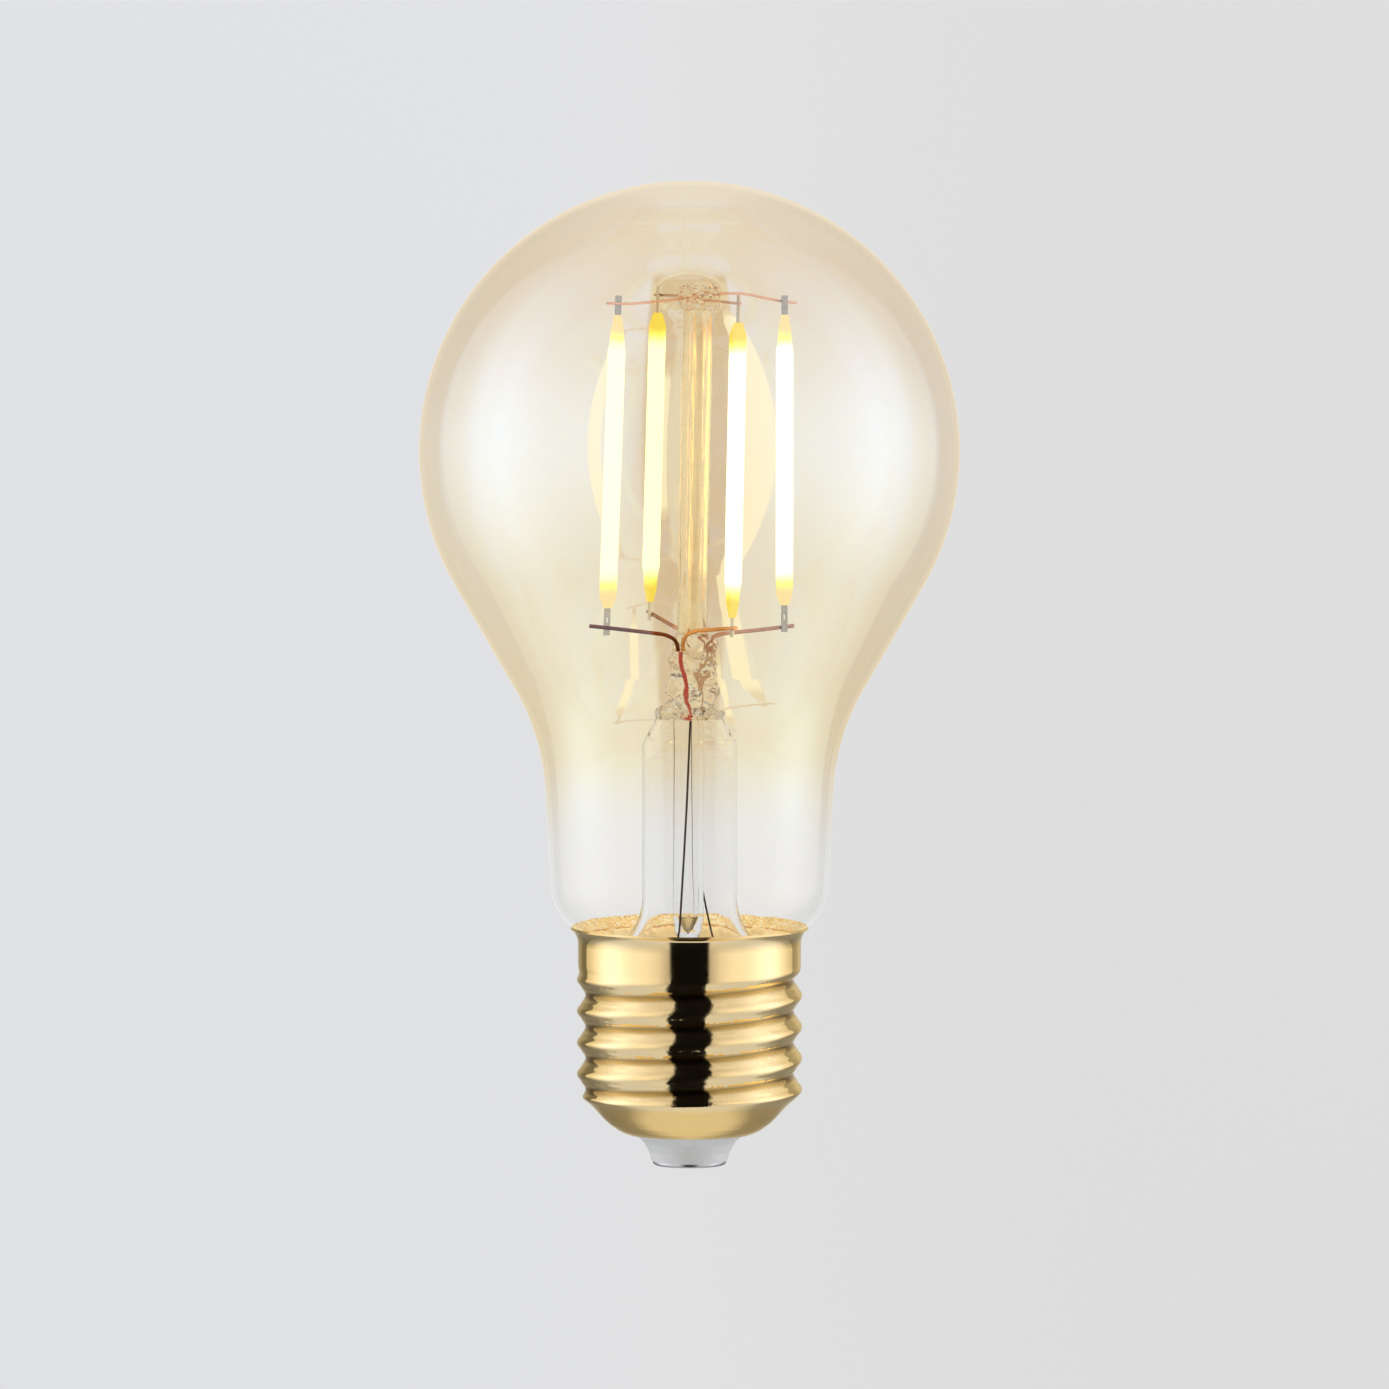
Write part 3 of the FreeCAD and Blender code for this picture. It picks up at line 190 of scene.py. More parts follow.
# ---------------------------------------------------------------- the glasses
def lustre_glass():
    """Thin blown glass with a champagne lustre that fades out towards the neck: it lets
    amber through and mirrors the bluish rest, as a metal-oxide film does. The film is the
    stronger mirror on its glass side, so it shows more from inside than from outside."""
    t = Tree("amber_lustre_glass")
    z = t.height()[2]
    drift = t.noise(38.0, 3.0, 0.5)
    level = t.maths("ADD", z, t.spread(drift, 0.2, 0.8, -0.0025, 0.0025))
    film = t.spread(level, 0.0337, 0.0500, 0.0, 1.0, "SMOOTHSTEP")
    streak = t.noise(60.0, 4.0, 0.55, t.stretched((1.0, 1.0, 0.35)))
    film = t.maths("MULTIPLY", film, t.spread(streak, 0.3, 0.7, 0.93, 1.0))
    facing = t.node("ShaderNodeLayerWeight")
    facing.inputs["Blend"].default_value = 0.5
    edge = facing.outputs["Facing"]
    rim = t.maths("POWER", edge, 5.0)
    inside = t.node("ShaderNodeNewGeometry").outputs["Backfacing"]
    amber = t.mixed(inside, (0.985, 0.94, 0.86, 1), (0.916, 0.701, 0.405, 1))
    amber = t.mixed(rim, amber, (0.80, 0.73, 0.59, 1))
    clear = t.mixed(rim, (0.987, 0.984, 0.972, 1), (0.80, 0.815, 0.83, 1))
    through = t.mixed(film, clear, amber)
    mirror = t.mixed(inside, (0.062, 0.099, 0.170, 1), (0.116, 0.253, 0.462, 1))
    thicker = t.mixed(inside, (0.062, 0.090, 0.108, 1), (0.116, 0.230, 0.335, 1))
    mirror = t.mixed(t.spread(z, 0.050, 0.084, 1.0, 0.0), mirror, thicker)
    back = t.mixed(film, (0.043, 0.041, 0.032, 1), mirror)
    back = t.mixed(rim, back, (0.30, 0.29, 0.27, 1))
    pane = t.node("ShaderNodeBsdfTransparent")
    t.link(through, pane.inputs["Color"])
    gloss = t.node("ShaderNodeBsdfGlossy")
    t.link(back, gloss.inputs["Color"])
    t.link(t.spread(t.noise(120.0, 3.0, 0.5), 0.3, 0.7, 0.02, 0.05), gloss.inputs["Roughness"])
    both = t.node("ShaderNodeAddShader")
    t.link(pane.outputs[0], both.inputs[0])
    t.link(gloss.outputs[0], both.inputs[1])
    return t.done(both.outputs[0])


def inner_glass():
    t = Tree("envelope_inner_face")
    facing = t.node("ShaderNodeLayerWeight")
    facing.inputs["Blend"].default_value = 0.5
    rim = t.maths("POWER", facing.outputs["Facing"], 5.0)
    pane = t.node("ShaderNodeBsdfTransparent")
    t.link(t.mixed(rim, (0.995, 0.995, 0.995, 1), (0.90, 0.90, 0.90, 1)), pane.inputs["Color"])
    gloss = t.node("ShaderNodeBsdfGlossy")
    t.link(t.mixed(rim, (0.006, 0.006, 0.006, 1), (0.08, 0.08, 0.08, 1)), gloss.inputs["Color"])
    t.link(t.spread(t.noise(120.0, 3.0, 0.5), 0.3, 0.7, 0.02, 0.05), gloss.inputs["Roughness"])
    both = t.node("ShaderNodeAddShader")
    t.link(pane.outputs[0], both.inputs[0])
    t.link(gloss.outputs[0], both.inputs[1])
    return t.done(both.outputs[0])


def clear_glass(name, tint=(0.998, 0.998, 0.996, 1), bump=0.0, scale=300.0, stretch=(1.0, 1.0, 0.25), rough=(0.0, 0.02), swirl=0.0, ior=1.5):
    t = Tree(name)
    n = t.noise(scale, 3.0, 0.5, t.stretched(stretch), swirl)
    p = t.principled(**{
        "Base Color": t.mixed(t.spread(n, 0.3, 0.7, 0.0, 1.0), tint, tuple(0.985 * c for c in tint[:3]) + (1,)),
        "Roughness": t.spread(n, 0.35, 0.65, rough[0], rough[1]),
        "Transmission Weight": 1.0,
        "IOR": ior,
    })
    if bump:
        t.link(t.bump(n, bump), p.inputs["Normal"])
    path = t.node("ShaderNodeLightPath")
    pane = t.node("ShaderNodeBsdfTransparent")
    pane.inputs["Color"].default_value = (0.95, 0.96, 0.96, 1)
    mix = t.node("ShaderNodeMixShader")
    t.link(path.outputs["Is Shadow Ray"], mix.inputs[0])
    t.link(p.outputs[0], mix.inputs[1])
    t.link(pane.outputs[0], mix.inputs[2])
    return t.done(mix.outputs[0])


# ---------------------------------------------------------------- the filaments
def phosphor(low, high, tip, core):
    """Silicone with yellow phosphor over a lit row of chips: white-hot along the chips,
    plain yellow at both ends."""
    t = Tree("phosphor_%d" % round(low * 1e5))
    z = t.height()[2]
    wobble = t.noise(700.0, 2.0, 0.5)
    z = t.maths("ADD", z, t.spread(wobble, 0.3, 0.7, -0.0002, 0.0002))
    end = 0.0031
    up = t.spread(z, low + end - 0.0016, low + end + 0.0013, 0.0, 1.0, "SMOOTHSTEP")
    down = t.spread(z, high - end - 0.0013, high - end + 0.0016, 1.0, 0.0, "SMOOTHSTEP")
    lit = t.maths("MULTIPLY", up, down)
    glow = t.ramp(lit, [(0.0, tip), (0.30, (1.0, 0.86, 0.16, 1)), (0.65, (1.0, 0.93, 0.34, 1)), (1.0, core)])
    power = t.spread(lit, 0.0, 1.0, 1.0, 2.3)
    # painted reflection: in mirrored rays the glow turns orange and a little stronger, for the colour of the filaments'
    # images in the glass.
    path = t.node("ShaderNodeLightPath")
    mirrored = path.outputs["Is Glossy Ray"]
    light = t.node("ShaderNodeEmission")
    t.link(t.mixed(mirrored, glow, (1.0, 0.58, 0.25, 1)), light.inputs["Color"])
    t.link(t.maths("MULTIPLY", power, t.spread(mirrored, 0.0, 1.0, 1.0, 1.05)), light.inputs["Strength"])
    grain = t.noise(2500.0, 3.0, 0.6)
    skin = t.principled(**{
        "Base Color": t.mixed(t.spread(grain, 0.3, 0.7, 0, 1), (0.95, 0.58, 0.13, 1), (0.90, 0.50, 0.10, 1)),
        "Roughness": t.spread(grain, 0.3, 0.7, 0.35, 0.5),
    })
    mix = t.node("ShaderNodeMixShader")
    t.link(t.spread(lit, 0.0, 0.5, 0.92, 1.0), mix.inputs[0])
    t.link(skin.outputs[0], mix.inputs[1])
    t.link(light.outputs[0], mix.inputs[2])
    return t.done(mix.outputs[0])


MATS = {}


def use(node, mat):
    o = NODES[node]
    o.data.materials.clear()
    o.data.materials.append(mat)



def dress_envelope():
    """The film is on the outer face only; the inner face is plain glass."""
    o = NODES["glass_envelope"]
    o.data.materials.clear()
    o.data.materials.append(lustre_glass())
    o.data.materials.append(inner_glass())
    for f in o.data.polygons:
        c = f.center
        out = Vector((c.x, c.y, c.z - max(0.035, min(c.z, 0.0821))))
        f.material_index = 0 if f.normal.dot(out) > 0 else 1


dress_envelope()
tube = clear_glass("clear_stem_glass", bump=0.00002)
lumpy = clear_glass("pressed_stem_glass", tint=(1.0, 0.982, 0.92, 1), bump=0.00035, scale=260.0, stretch=(1.0, 1.0, 0.8), rough=(0.0, 0.02), swirl=1.2, ior=1.42)
rod = clear_glass("drawn_rod_glass", tint=(1.0, 0.955, 0.84, 1), bump=0.00012, scale=1800.0, stretch=(1.0, 1.0, 0.02))
use("exhaust_tube", tube)
use("stem_flare", clear_glass("thin_flare_glass", bump=0.00001, ior=1.2))
use("centre_post", rod)


def new_piece(name, mesh, mat, slot, *stands_for):
    for f in mesh.polygons:
        f.use_smooth = True
    mesh.materials.clear()
    mesh.materials.append(mat)
    o = bpy.data.objects.new(name, mesh)
    bpy.context.scene.collection.objects.link(o)
    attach(o, "root")
    if stands_for:
        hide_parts(*stands_for)
    return o


def remeshed(node, voxel):
    """The node's solid as an even closed mesh, ready to be worked."""
    src = bpy.data.objects.new("scratch_" + node, NODES[node].data.copy())
    bpy.context.scene.collection.objects.link(src)
    m = src.modifiers.new("even", "REMESH")
    m.mode, m.voxel_size, m.use_smooth_shade = "VOXEL", voxel, True
    dg = bpy.context.evaluated_depsgraph_get()
    mesh = bpy.data.meshes.new_from_object(src.evaluated_get(dg), depsgraph=dg)
    bpy.data.objects.remove(src)
    return mesh


def kneaded(mesh, shape, easing=2):
    """Moves each point along its own normal by shape(point), in metres."""
    bm = bmesh.new()
    bm.from_mesh(mesh)
    bm.normal_update()
    moves = [(v, v.normal.copy() * shape(v.co)) for v in bm.verts]
    for v, d in moves:
        v.co += d
    for _ in range(easing):
        bmesh.ops.smooth_vert(bm, verts=bm.verts, factor=0.35, use_axis_x=True, use_axis_y=True, use_axis_z=True)
    bmesh.ops.recalc_face_normals(bm, faces=bm.faces)
    bm.to_mesh(mesh)
    bm.free()
    return mesh


def press_folds(co):
    """Hot glass squeezed between two jaws: a rounded knob, folds lower down, ripples all over."""
    q = co * 1000.0
    low, high = PRESS
    f = (co.z - low.z) / (high.z - low.z)
    lumps = noise.noise(Vector((q.x * 0.42 + 3.1, q.y * 0.42, q.z * 0.42)))
    swirl = noise.noise(q * 0.30) * 2.4
    folds = math.sin(q.z * 2.1 + 1.7 * math.sin(q.x * 0.9 + swirl) + swirl)
    fine = noise.noise(q * 1.35 + Vector((7.0, 2.0, 5.0)))
    ease = min(1.0, max(0.35, f / 0.06)) * min(1.0, max(0.25, (1.0 - f) / 0.10))
    return ease * (0.80 * lumps + 0.30 * folds * (0.35 + 0.65 * (1.0 - f)) + 0.38 * fine) * MM


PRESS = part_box("stem_press_seal")
new_piece("press_seal_folds", kneaded(remeshed("stem_press_seal", 0.18 * MM), press_folds), lumpy, "pressed_glass", "stem_press_seal")


def bead_grains(co):
    q = co * 1000.0
    return (0.30 * noise.noise(q * 0.9) + 0.26 * noise.noise(q * 2.3 + Vector((1.0, 4.0, 2.0)))) * MM


new_piece("post_button_bead", kneaded(remeshed("post_button", 0.12 * MM), bead_grains), lumpy, "pressed_glass", "post_button")

copper = metal("link_copper", (0.90, 0.60, 0.48, 1), (0.74, 0.44, 0.34, 1), (0.25, 0.4), 2500.0)
brown = metal("arm_dark_nickel", (0.25, 0.07, 0.02, 1), (0.14, 0.04, 0.012, 1), (0.3, 0.45), 2500.0)
orange = metal("arm_orange_copper", (0.90, 0.46, 0.16, 1), (0.70, 0.32, 0.09, 1), (0.3, 0.45), 2500.0)
pink = metal("arm_pink_copper", (0.66, 0.40, 0.32, 1), (0.45, 0.24, 0.18, 1), (0.3, 0.45), 2500.0)
red = solid("dumet_red_borate", (0.62, 0.05, 0.05, 1), (0.72, 0.14, 0.12, 1), (0.3, 0.5), 2500.0)
faded = solid("dumet_pale_borate", (0.78, 0.60, 0.46, 1), (0.66, 0.46, 0.34, 1), (0.3, 0.5), 2500.0)
lead = metal("lead_dark_copper", (0.09, 0.065, 0.05, 1), (0.04, 0.03, 0.025, 1), (0.4, 0.55), 2500.0)
for n in ("link_wire_1", "link_wire_2"):
    use(n, copper)
for n, m in (("support_arm_1", brown), ("support_arm_2", orange), ("support_arm_3", pink), ("support_arm_4", pink)):
    use(n, m)
use("dumet_wire_1", red)
use("dumet_wire_2", faded)
for n in ("outer_lead_1", "outer_lead_2"):
    new_piece(n + "_bare_strand", kneaded(NODES[n].data.copy(), lambda co: -0.13 * MM, 0), lead, "lead_wire", n)

# painted light: one tab material in a darker shaded copy for filaments 1 and 3 and a paler lit copy for filaments 2 and
# 4.
tab = metal("filament_tab_painted_shade", (0.46, 0.47, 0.51, 1), (0.34, 0.35, 0.39, 1), (0.25, 0.4), 1800.0)
lit_tab_copy = metal("filament_tab_painted_lit", (0.84, 0.80, 0.74, 1), (0.66, 0.62, 0.56, 1), (0.2, 0.35), 1800.0)
ceramic = solid("filament_ceramic", (0.90, 0.86, 0.75, 1), (0.84, 0.79, 0.66, 1), (0.45, 0.6), 2200.0)
chip = solid("led_die", (0.85, 0.75, 0.30, 1), (0.75, 0.62, 0.20, 1), (0.25, 0.35), 4000.0)
for i in range(1, 5):
    lo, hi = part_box("filament_%d_coating" % i)
    use("filament_%d_coating" % i, phosphor(lo.z, hi.z, (1.0, 0.80, 0.34, 1) if i in (1, 3) else (1.0, 0.78, 0.10, 1),
                                            (1.0, 0.93, 0.37, 1) if i in (1, 4) else (1.0, 0.93, 0.62, 1)))
    use("filament_%d_substrate" % i, ceramic)
    use("filament_%d_tabs" % i, tab if i in (1, 3) else lit_tab_copy)
    use("filament_%d_led_chips" % i, chip)


def gold_plate():
    t = Tree("gold_plated_brass")
    fine = t.noise(3200.0, 3.0, 0.6)
    lines = t.noise(1500.0, 4.0, 0.6, t.stretched((0.12, 0.12, 1.0)))
    cloud = t.noise(140.0, 3.0, 0.5)
    colour = t.mixed(t.spread(cloud, 0.3, 0.7, 0.0, 1.0), (0.95, 0.715, 0.38, 1), (0.92, 0.675, 0.335, 1))
    # painted reflection: deeper, more orange gold towards the edges seen at a slant.
    turn = t.node("ShaderNodeLayerWeight")
    turn.inputs["Blend"].default_value = 0.5
    colour = t.mixed(t.spread(turn.outputs["Facing"], 0.40, 0.72, 0.0, 1.0), colour, (1.0, 0.70, 0.25, 1))
    x, y, z = t.height()
    radius = t.maths("SQRT", t.maths("ADD", t.maths("MULTIPLY", x, x), t.maths("MULTIPLY", y, y)))
    # painted highlight: paler gold on the faces that turn downwards.
    facing_down = t.node("ShaderNodeSeparateXYZ")
    t.link(t.coords.outputs["Normal"], facing_down.inputs[0])
    colour = t.mixed(t.spread(facing_down.outputs[2], -0.15, -0.35, 0.0, 1.0), colour, (1.0, 0.79, 0.45, 1))
    # painted light: brighter, warmer gold on the bottom cone below the thread.
    colour = t.mixed(t.spread(z, 0.0078, 0.0072, 0.0, 1.0), colour, (1.0, 0.72, 0.31, 1))
    # painted shade: dark brown in the thread roots, where the thread shades itself.
    painted_valley_shade = t.maths("MULTIPLY", t.spread(radius, 0.01200, 0.01222, 1.0, 0.0), t.spread(z, 0.0078, 0.0086, 0.0, 1.0))
    colour = t.mixed(painted_valley_shade, colour, (0.42, 0.26, 0.08, 1))
    p = t.principled(**{
        "Metallic": 1.0,
        "Base Color": colour,
        "Roughness": t.spread(lines, 0.3, 0.7, 0.05, 0.09),
        "Specular Tint": (1.0, 0.95, 0.82, 1),
    })
    t.link(t.bump(t.maths("ADD", t.maths("MULTIPLY", fine, 0.35), lines), 0.0000012), p.inputs["Normal"])
    return t.done(p.outputs[0])


use("screw_shell", gold_plate())
use("cap_insulator", solid("opal_insulator", (0.86, 0.86, 0.86, 1), (0.80, 0.80, 0.80, 1), (0.25, 0.4), 900.0, 0.00001))
silver = metal("contact_tin", (0.62, 0.62, 0.64, 1), (0.48, 0.48, 0.50, 1), (0.2, 0.35), 1600.0)
use("contact_eyelet", silver)
use("contact_pin", silver)
cement_mat = solid("basing_cement", (1.0, 0.82, 0.50, 1), (0.92, 0.62, 0.22, 1), (0.5, 0.75), 700.0, 0.0002)

# painted light: the cement gets a faint warm glow of its own, to lighten it where it sits in shade deep in the cap
# behind the glass.
glow = next(n for n in cement_mat.node_tree.nodes if n.type == "BSDF_PRINCIPLED")
glow.inputs["Emission Color"].default_value = (0.95, 0.72, 0.34, 1)
glow.inputs["Emission Strength"].default_value = 0.25


def cement_crust(co):
    """The cured top is rough, with small beads squeezed up along the shell."""
    q = co * 1000.0
    up = min(1.0, max(0.0, (co.z - CEMENT[1].z + 0.0011) / 0.0007))
    r = math.hypot(co.x, co.y) * 1000.0
    beads = max(0.0, noise.noise(Vector((q.x * 1.5, q.y * 1.5, 0.3))) + 0.25)
    rim = min(1.0, max(0.0, (r - 11.2) / 1.0))
    return up * (0.10 * noise.noise(q * 2.0) + 0.40 * beads * rim) * MM


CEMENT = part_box("basing_cement")
new_piece("basing_cement_crust", kneaded(remeshed("basing_cement", 0.2 * MM), cement_crust), cement_mat, "cement", "basing_cement")


def squeeze_out():
    """Cement squeezed up between the glass and the lip of the shell, set as a crumbly edge."""
    edge = sorted((v.co.z * 1000.0, math.hypot(v.co.x, v.co.y) * 1000.0) for v in NODES["glass_envelope"].data.vertices
                  if 0.0245 < v.co.z < 0.0315)
    outline = {}
    for z, r in edge:
        k = round(z, 2)
        outline[k] = max(r, outline.get(k, 0.0))
    levels = sorted(outline)
    widest = [(z, outline[z]) for z in levels]
    widest = [(z, r) for i, (z, r) in enumerate(widest)
              if r > max(q[1] for q in widest[max(0, i - 2):i + 3]) - 0.35]

    def glass(z):
        for (z0, r0), (z1, r1) in zip(widest, widest[1:]):
            if z0 <= z <= z1:
                return r0 + (r1 - r0) * (z - z0) / max(1e-6, z1 - z0)
        return widest[0][1] if z < widest[0][0] else widest[-1][1]

    n, m = 540, 9
    verts, faces = [], []
    for k in range(n):
        a = 2.0 * math.pi * k / n
        ring = Vector((math.cos(a), math.sin(a), 0.0))
        rise = 27.56 + 0.26 * ring.y + 0.10 * noise.noise(ring * 9.0) + 0.16 * noise.noise(ring * 60.0 + Vector((3.0, 1.0, 2.0)))
        for j in range(m):
            z = 26.55 + (rise - 26.55) * j / (m - 1)
            swell = math.sin(math.pi * min(1.0, 0.25 + 0.75 * j / (m - 1)))
            grit = noise.noise(ring * 30.0 + Vector((0.0, 0.0, z * 2.4)))
            r = min(glass(z) + 0.04 + max(0.02, swell * (0.16 + 0.16 * grit)), 13.42 if z < 27.45 else 99.0)
            verts.append((ring.x * r * MM, ring.y * r * MM, z * MM))
        for j in range(m - 1, -1, -1):
            z = 26.55 + (rise - 26.55) * j / (m - 1)
            r = glass(z) + 0.015
            verts.append((ring.x * r * MM, ring.y * r * MM, z * MM))
    loop = 2 * m
    for k in range(n):
        q = (k + 1) % n
        for j in range(loop):
            i = (j + 1) % loop
            faces.append((k * loop + j, q * loop + j, q * loop + i, k * loop + i))
    mesh = bpy.data.meshes.new("cement_squeeze_out")
    mesh.from_pydata(verts, [], faces)
    mesh.update()
    t = Tree("cement_crumbs")
    fine = t.noise(2600.0, 3.0, 0.6)
    broad = t.noise(420.0, 3.0, 0.5)
    tone = t.ramp(t.spread(broad, 0.32, 0.68, 0.0, 1.0), [(0.0, (0.66, 0.42, 0.09, 1)), (0.45, (0.90, 0.62, 0.20, 1)), (1.0, (1.0, 0.84, 0.52, 1))])
    dots = t.spread(fine, 0.55, 0.61, 0.0, 1.0)
    tone = t.mixed(t.spread(fine, 0.40, 0.34, 0.0, 0.8), tone, (0.22, 0.13, 0.05, 1))
    tone = t.mixed(dots, tone, (1.0, 0.97, 0.90, 1))
    # painted light: the crumbs get a faint warm glow of their own, to lighten them where they sit in shade under the
    # glass.
    p = t.principled(**{"Base Color": tone, "Roughness": t.spread(broad, 0.3, 0.7, 0.35, 0.6), "Metallic": 0.55, "Emission Color": (0.95, 0.70, 0.32, 1), "Emission Strength": 0.22})
    t.link(t.bump(fine, 0.0002), p.inputs["Normal"])
    piece = new_piece("cement_squeeze_out", mesh, t.done(p.outputs[0]), "cement")
    return piece


squeeze_out()
use("insulating_sleeve", solid("sleeve_plastic", (0.80, 0.80, 0.78, 1), (0.72, 0.72, 0.70, 1), (0.4, 0.55), 800.0))
board = solid("circuit_board", (0.03, 0.16, 0.08, 1), (0.02, 0.11, 0.05, 1), (0.3, 0.5), 2500.0)
black = solid("chip_black", (0.02, 0.02, 0.02, 1), (0.035, 0.035, 0.035, 1), (0.4, 0.6), 3000.0)
for n in ("driver_pcb", "wifi_module_pcb"):
    use(n, board)
for n in ("bridge_rectifier", "driver_chip", "dimmer_chip"):
    use(n, black)
use("fusible_resistor", solid("resistor_body", (0.35, 0.50, 0.55, 1), (0.28, 0.42, 0.47, 1), (0.35, 0.5), 2000.0))
sleeve = solid("capacitor_sleeve", (0.03, 0.05, 0.12, 1), (0.02, 0.035, 0.08, 1), (0.25, 0.35), 2000.0)
for n in ("input_capacitor", "output_capacitor"):
    use(n, sleeve)
use("inductor_core", solid("ferrite", (0.06, 0.06, 0.06, 1), (0.10, 0.10, 0.10, 1), (0.5, 0.7), 3000.0))
use("inductor_winding", metal("copper_winding", (0.85, 0.42, 0.20, 1), (0.65, 0.28, 0.12, 1), (0.2, 0.3), 3000.0, 0.00002, (0.05, 0.05, 1.0)))
use("chip_parts", solid("chip_ceramic", (0.55, 0.42, 0.28, 1), (0.42, 0.31, 0.20, 1), (0.4, 0.5), 3000.0))
use("wifi_module_shield", metal("shield_steel", (0.70, 0.70, 0.68, 1), (0.58, 0.58, 0.56, 1), (0.25, 0.35), 1800.0))
use("module_header_pins", metal("header_metal", (0.85, 0.65, 0.30, 1), (0.75, 0.55, 0.22, 1), (0.2, 0.3), 2500.0))
use("antenna_wire", solid("antenna_jacket", (0.05, 0.05, 0.05, 1), (0.08, 0.08, 0.08, 1), (0.4, 0.5), 2500.0))
use("live_wire", solid("live_jacket", (0.55, 0.04, 0.03, 1), (0.42, 0.03, 0.02, 1), (0.35, 0.45), 2500.0))
use("neutral_wire", metal("neutral_tinned", (0.62, 0.62, 0.62, 1), (0.5, 0.5, 0.5, 1), (0.25, 0.35), 2500.0))


# ---------------------------------------------------------------- the studio
def emitter(name, verts, faces, colour_nodes, **seen):
    mesh = bpy.data.meshes.new(name)
    mesh.from_pydata([tuple(v) for v in verts], [], faces)
    mesh.update()
    o = bpy.data.objects.new(name, mesh)
    bpy.context.scene.collection.objects.link(o)
    mesh.materials.append(colour_nodes)
    for k in ("camera", "diffuse", "glossy", "transmission", "shadow", "volume_scatter"):
        setattr(o, "visible_" + k, seen.get(k, False))
    return o


def cove():
    """Pale floor that curves up into a wall all round, closed over the top."""
    t = Tree("pale_cove_paint")
    x = t.height()
    side = t.spread(x[0], -0.16, 0.16, 0.0, 1.0, "SMOOTHSTEP")
    low = t.spread(x[2], -0.3, 0.4, 0.0, 1.0, "SMOOTHSTEP")
    paint = t.ramp(side, [(0.0, srgb(226, 227, 231)), (0.45, srgb(227, 227, 228)), (1.0, srgb(223, 223, 224))])
    lift = t.noise(1.3, 2.0, 0.5)
    e = t.node("ShaderNodeEmission")
    t.link(paint, e.inputs["Color"])
    t.link(t.maths("MULTIPLY", t.spread(lift, 0.2, 0.8, 0.985, 1.01), t.spread(low, 0.0, 1.0, 0.985, 1.0)), e.inputs["Strength"])
    mat = t.done(e.outputs[0])
    floor_z, wall_r, bend, top = -0.32, 2.4, 0.8, 2.6
    profile = [(0.0, floor_z), (0.8, floor_z), (wall_r - bend, floor_z)]
    for i in range(1, 9):
        a = math.radians(90 * i / 8)
        profile.append((wall_r - bend + bend * math.sin(a), floor_z + bend - bend * math.cos(a)))
    for i in range(0, 9):
        a = math.radians(90 * i / 8)
        profile.append((wall_r * math.cos(a), top - 0.8 + 0.8 * math.sin(a)))
    n = 72
    verts, faces, rows = [], [], []
    for r, z in profile:
        if r < 1e-6:
            rows.append([len(verts)] * n)
            verts.append((0.0, 0.0, z))
        else:
            rows.append([len(verts) + k for k in range(n)])
            verts += [(r * math.cos(2 * math.pi * k / n), r * math.sin(2 * math.pi * k / n), z) for k in range(n)]
    for a, b in zip(rows, rows[1:]):
        for k in range(n):
            m = (k + 1) % n
            face = [a[k], a[m], b[m], b[k]]
            seen_v = []
            for v in face:
                if v not in seen_v:
                    seen_v.append(v)
            if len(seen_v) > 2:
                faces.append(seen_v)
    o = emitter("cove", verts, faces, mat, camera=True, transmission=True)
    return o


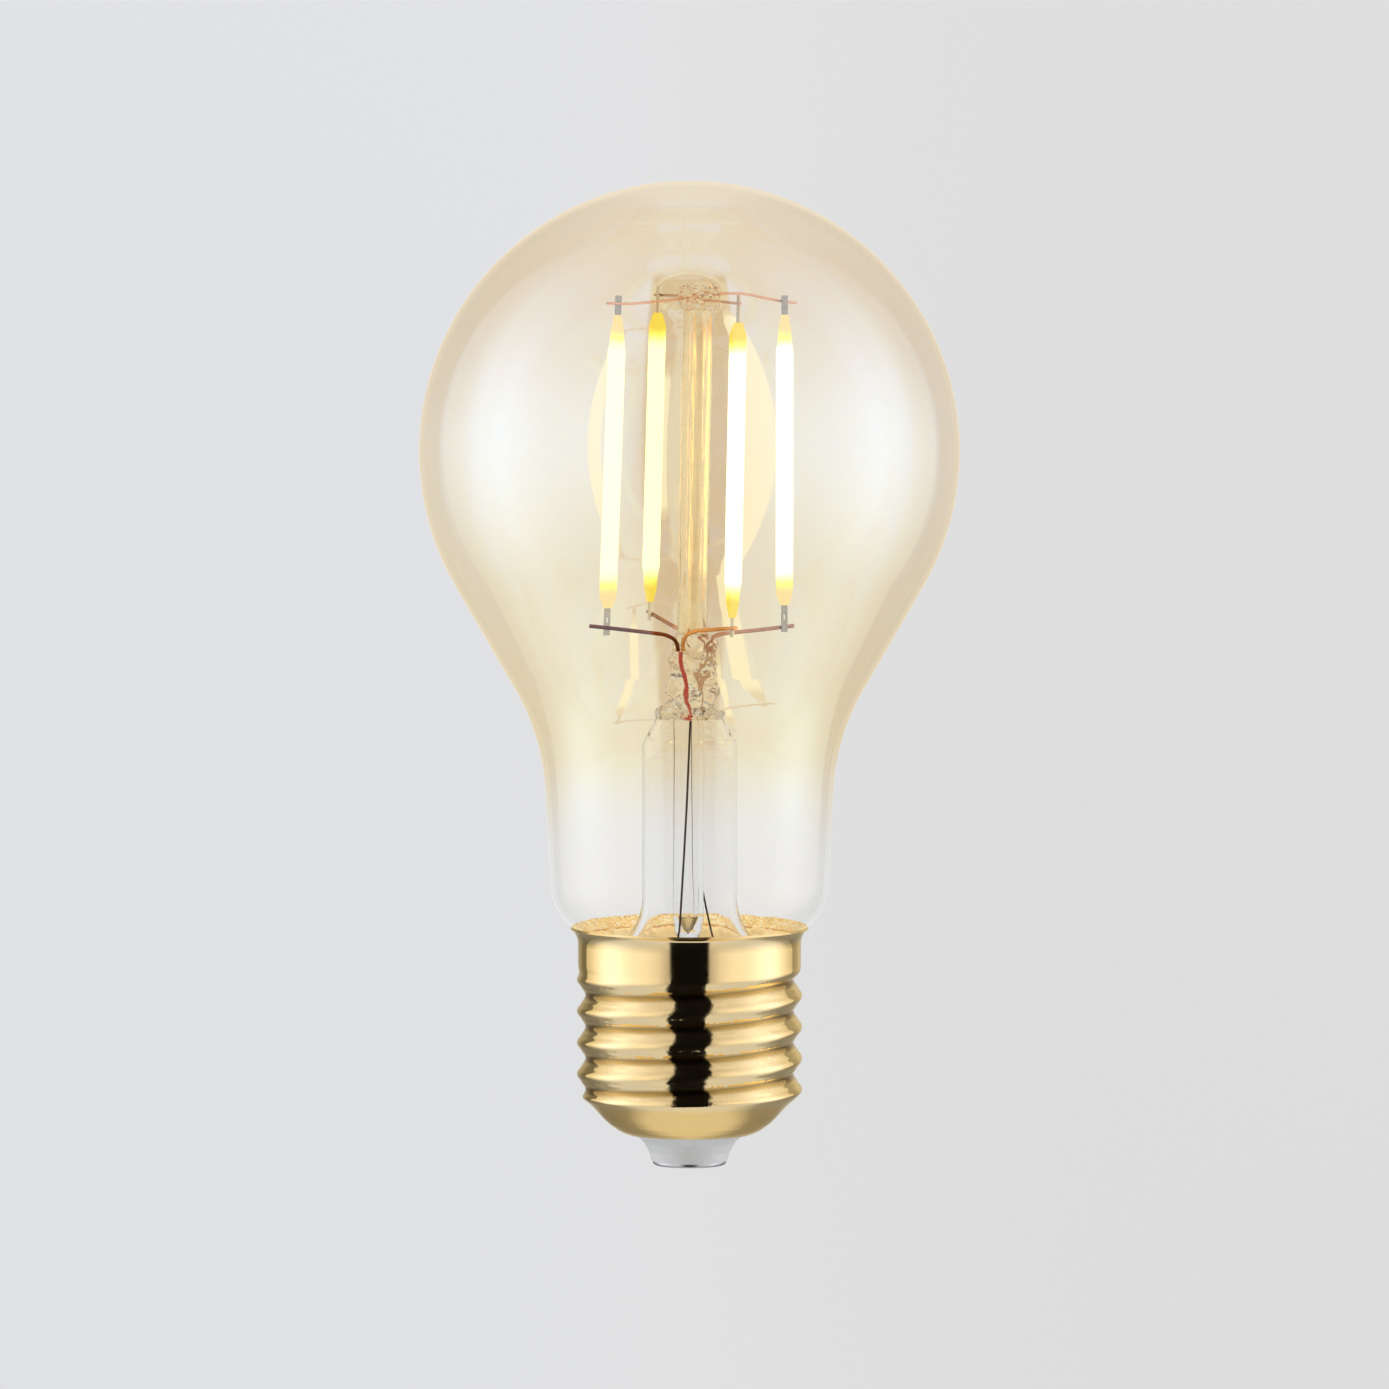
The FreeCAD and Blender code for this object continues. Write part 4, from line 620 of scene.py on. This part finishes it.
def studio_light():
    """Soft light all round, as a tent with a broad glow to the left and the right makes:
    brightest a little behind each side, dimmer over the top, under the bottom and behind,
    with a dark gap straight in front."""
    world = bpy.data.worlds.new("studio_tent")
    bpy.context.scene.world = world
    world.use_nodes = True
    nt = world.node_tree
    nt.nodes.clear()

    def node(kind, **props):
        n = nt.nodes.new(kind)
        for k, v in props.items():
            setattr(n, k, v)
        return n

    def maths(op, a, b=None):
        m = node("ShaderNodeMath", operation=op)
        for i, x in enumerate((a, b)):
            if isinstance(x, (int, float)):
                m.inputs[i].default_value = x
            elif x is not None:
                nt.links.new(x, m.inputs[i])
        return m.outputs[0]

    def ramp(value, stops, ease="B_SPLINE"):
        r = node("ShaderNodeValToRGB")
        r.color_ramp.interpolation = ease
        e = r.color_ramp.elements
        e[0].position, e[0].color = stops[0][0], (stops[0][1],) * 3 + (1,)
        e[1].position, e[1].color = stops[1][0], (stops[1][1],) * 3 + (1,)
        for pos, k in stops[2:]:
            e.new(pos).color = (k, k, k, 1)
        nt.links.new(value, r.inputs["Fac"])
        return r.outputs["Color"]

    way = node("ShaderNodeTexCoord")
    parts = node("ShaderNodeSeparateXYZ")
    nt.links.new(way.outputs["Generated"], parts.inputs[0])
    x, y, z = parts.outputs
    round_it = maths("DIVIDE", maths("ARCTAN2", maths("ABSOLUTE", x), maths("MULTIPLY", y, -1.0)), math.pi)
    tall = maths("ADD", maths("MULTIPLY", z, 0.5), 0.5)
    side = ramp(round_it, SIDE_LIGHT, "LINEAR")
    right = ramp(round_it, RIGHT_BACK, "LINEAR")
    side = maths("ADD", side, maths("MULTIPLY", right, maths("GREATER_THAN", x, 0.0)))
    upright = ramp(tall, UPRIGHT)
    base = ramp(tall, ABOVE_AND_BELOW)
    glow = maths("ADD", maths("MULTIPLY", side, maths("MULTIPLY", upright, SIDE_SCALE)),
                 maths("MULTIPLY", base, maths("SUBTRACT", 1.0, upright)))
    halfway = maths("DIVIDE", maths("ARCTAN2", maths("ABSOLUTE", x), maths("SUBTRACT", 1.0, y)), math.pi)
    gap_round = ramp(halfway, [(0.0, 1.0), (GAP / 360.0 - 0.003, 1.0), (GAP / 360.0 + 0.003, 0.0), (1.0, 0.0)], "LINEAR")
    tilt = maths("DIVIDE", z, maths("SQRT", maths("SUBTRACT", 2.0002, maths("MULTIPLY", y, 2.0))))
    gap_tall = ramp(maths("ADD", maths("MULTIPLY", tilt, 0.5), 0.5),
                    [(0.0, 0.0), (0.171, 0.0), (0.179, 1.0), (0.817, 1.0), (0.825, 0.0), (1.0, 0.0)], "LINEAR")
    open_part = maths("SUBTRACT", 1.0, maths("MULTIPLY", maths("MULTIPLY", gap_round, gap_tall), 0.99))
    dim = ramp(round_it, LOW_BACK, "LINEAR")
    low_half = ramp(tall, [(0.0, 0.0), (0.05, 0.0), (0.12, 1.0), (0.34, 1.0), (0.47, 0.0), (1.0, 0.0)], "LINEAR")
    dim = maths("SUBTRACT", 1.0, maths("MULTIPLY", maths("SUBTRACT", 1.0, dim), low_half))
    strength = maths("MULTIPLY", maths("MULTIPLY", glow, open_part), dim)
    bg = node("ShaderNodeBackground")
    tint = node("ShaderNodeValToRGB")
    e = tint.color_ramp.elements
    e[0].position, e[0].color = 0.30, (1.0, 0.995, 0.96, 1)
    e[1].position, e[1].color = 0.44, (0.97, 1.0, 1.06, 1)
    e.new(0.56).color = (0.97, 1.0, 1.06, 1)
    e.new(0.70).color = (1.0, 0.995, 0.96, 1)
    nt.links.new(round_it, tint.inputs["Fac"])
    nt.links.new(tint.outputs["Color"], bg.inputs["Color"])
    nt.links.new(strength, bg.inputs["Strength"])
    out = node("ShaderNodeOutputWorld")
    nt.links.new(bg.outputs[0], out.inputs["Surface"])


SIDE_SCALE = 1.75
GAP = 20.0
SIDE_LIGHT = [(0.0, 0.26), (0.115, 0.30), (0.18, 0.52), (0.25, 0.62), (0.34, 0.69), (0.41, 0.82), (0.46, 0.96), (0.51, 1.0), (0.56, 0.90),
              (0.62, 0.68), (0.70, 0.50), (0.735, 0.44), (0.752, 0.09), (0.80, 0.10), (0.87, 0.22), (0.94, 0.28), (0.965, 0.43), (1.0, 0.43)]
LOW_BACK = [(0.0, 1.0), (0.62, 1.0), (0.70, 0.50), (0.90, 0.50), (1.0, 1.0)]
RIGHT_BACK = [(0.0, 0.0), (0.74, 0.0), (0.76, 0.13), (0.86, 0.16), (0.95, 0.05), (1.0, 0.0)]
UPRIGHT = [(0.0, 0.0), (0.10, 0.0), (0.20, 0.22), (0.32, 0.62), (0.45, 0.98), (0.68, 1.0), (0.80, 0.70), (0.90, 0.25), (1.0, 0.0)]
ABOVE_AND_BELOW = [(0.0, 0.74), (0.06, 0.70), (0.22, 0.56), (0.40, 0.58), (0.75, 0.78), (0.88, 0.80), (0.95, 0.62), (1.0, 0.46)]

cove()
studio_light()
top = bpy.data.lights.new("overhead_softbox", "AREA")
top.shape, top.size, top.energy = "DISK", 1.2, 5.0
top_ob = bpy.data.objects.new("overhead_softbox", top)
top_ob.location = (0.0, 0.1, 1.6)
bpy.context.scene.collection.objects.link(top_ob)
for k in ("camera", "glossy", "transmission"):
    setattr(top_ob, "visible_" + k, False)

# ---------------------------------------------------------------- camera and output
cam = bpy.data.cameras.new("camera")
cam.lens, cam.sensor_width = 204.0, 36.0
cam.clip_start, cam.clip_end = 0.01, 50.0
eye = bpy.data.objects.new("camera", cam)
bpy.context.scene.collection.objects.link(eye)
spot, aim = Vector((0.57, -900.0, 112.0)) * MM, Vector((0.57, 0.0, 54.25)) * MM
eye.location = spot
eye.rotation_euler = (aim - spot).to_track_quat("-Z", "Y").to_euler()
scene = bpy.context.scene
scene.camera = eye
scene.view_settings.view_transform = "Standard"
scene.view_settings.look = "None"
scene.cycles.transparent_max_bounces = 32
scene.cycles.max_bounces = 28
scene.cycles.transmission_bounces = 24
scene.cycles.glossy_bounces = 12

bpy.context.view_layer.update()
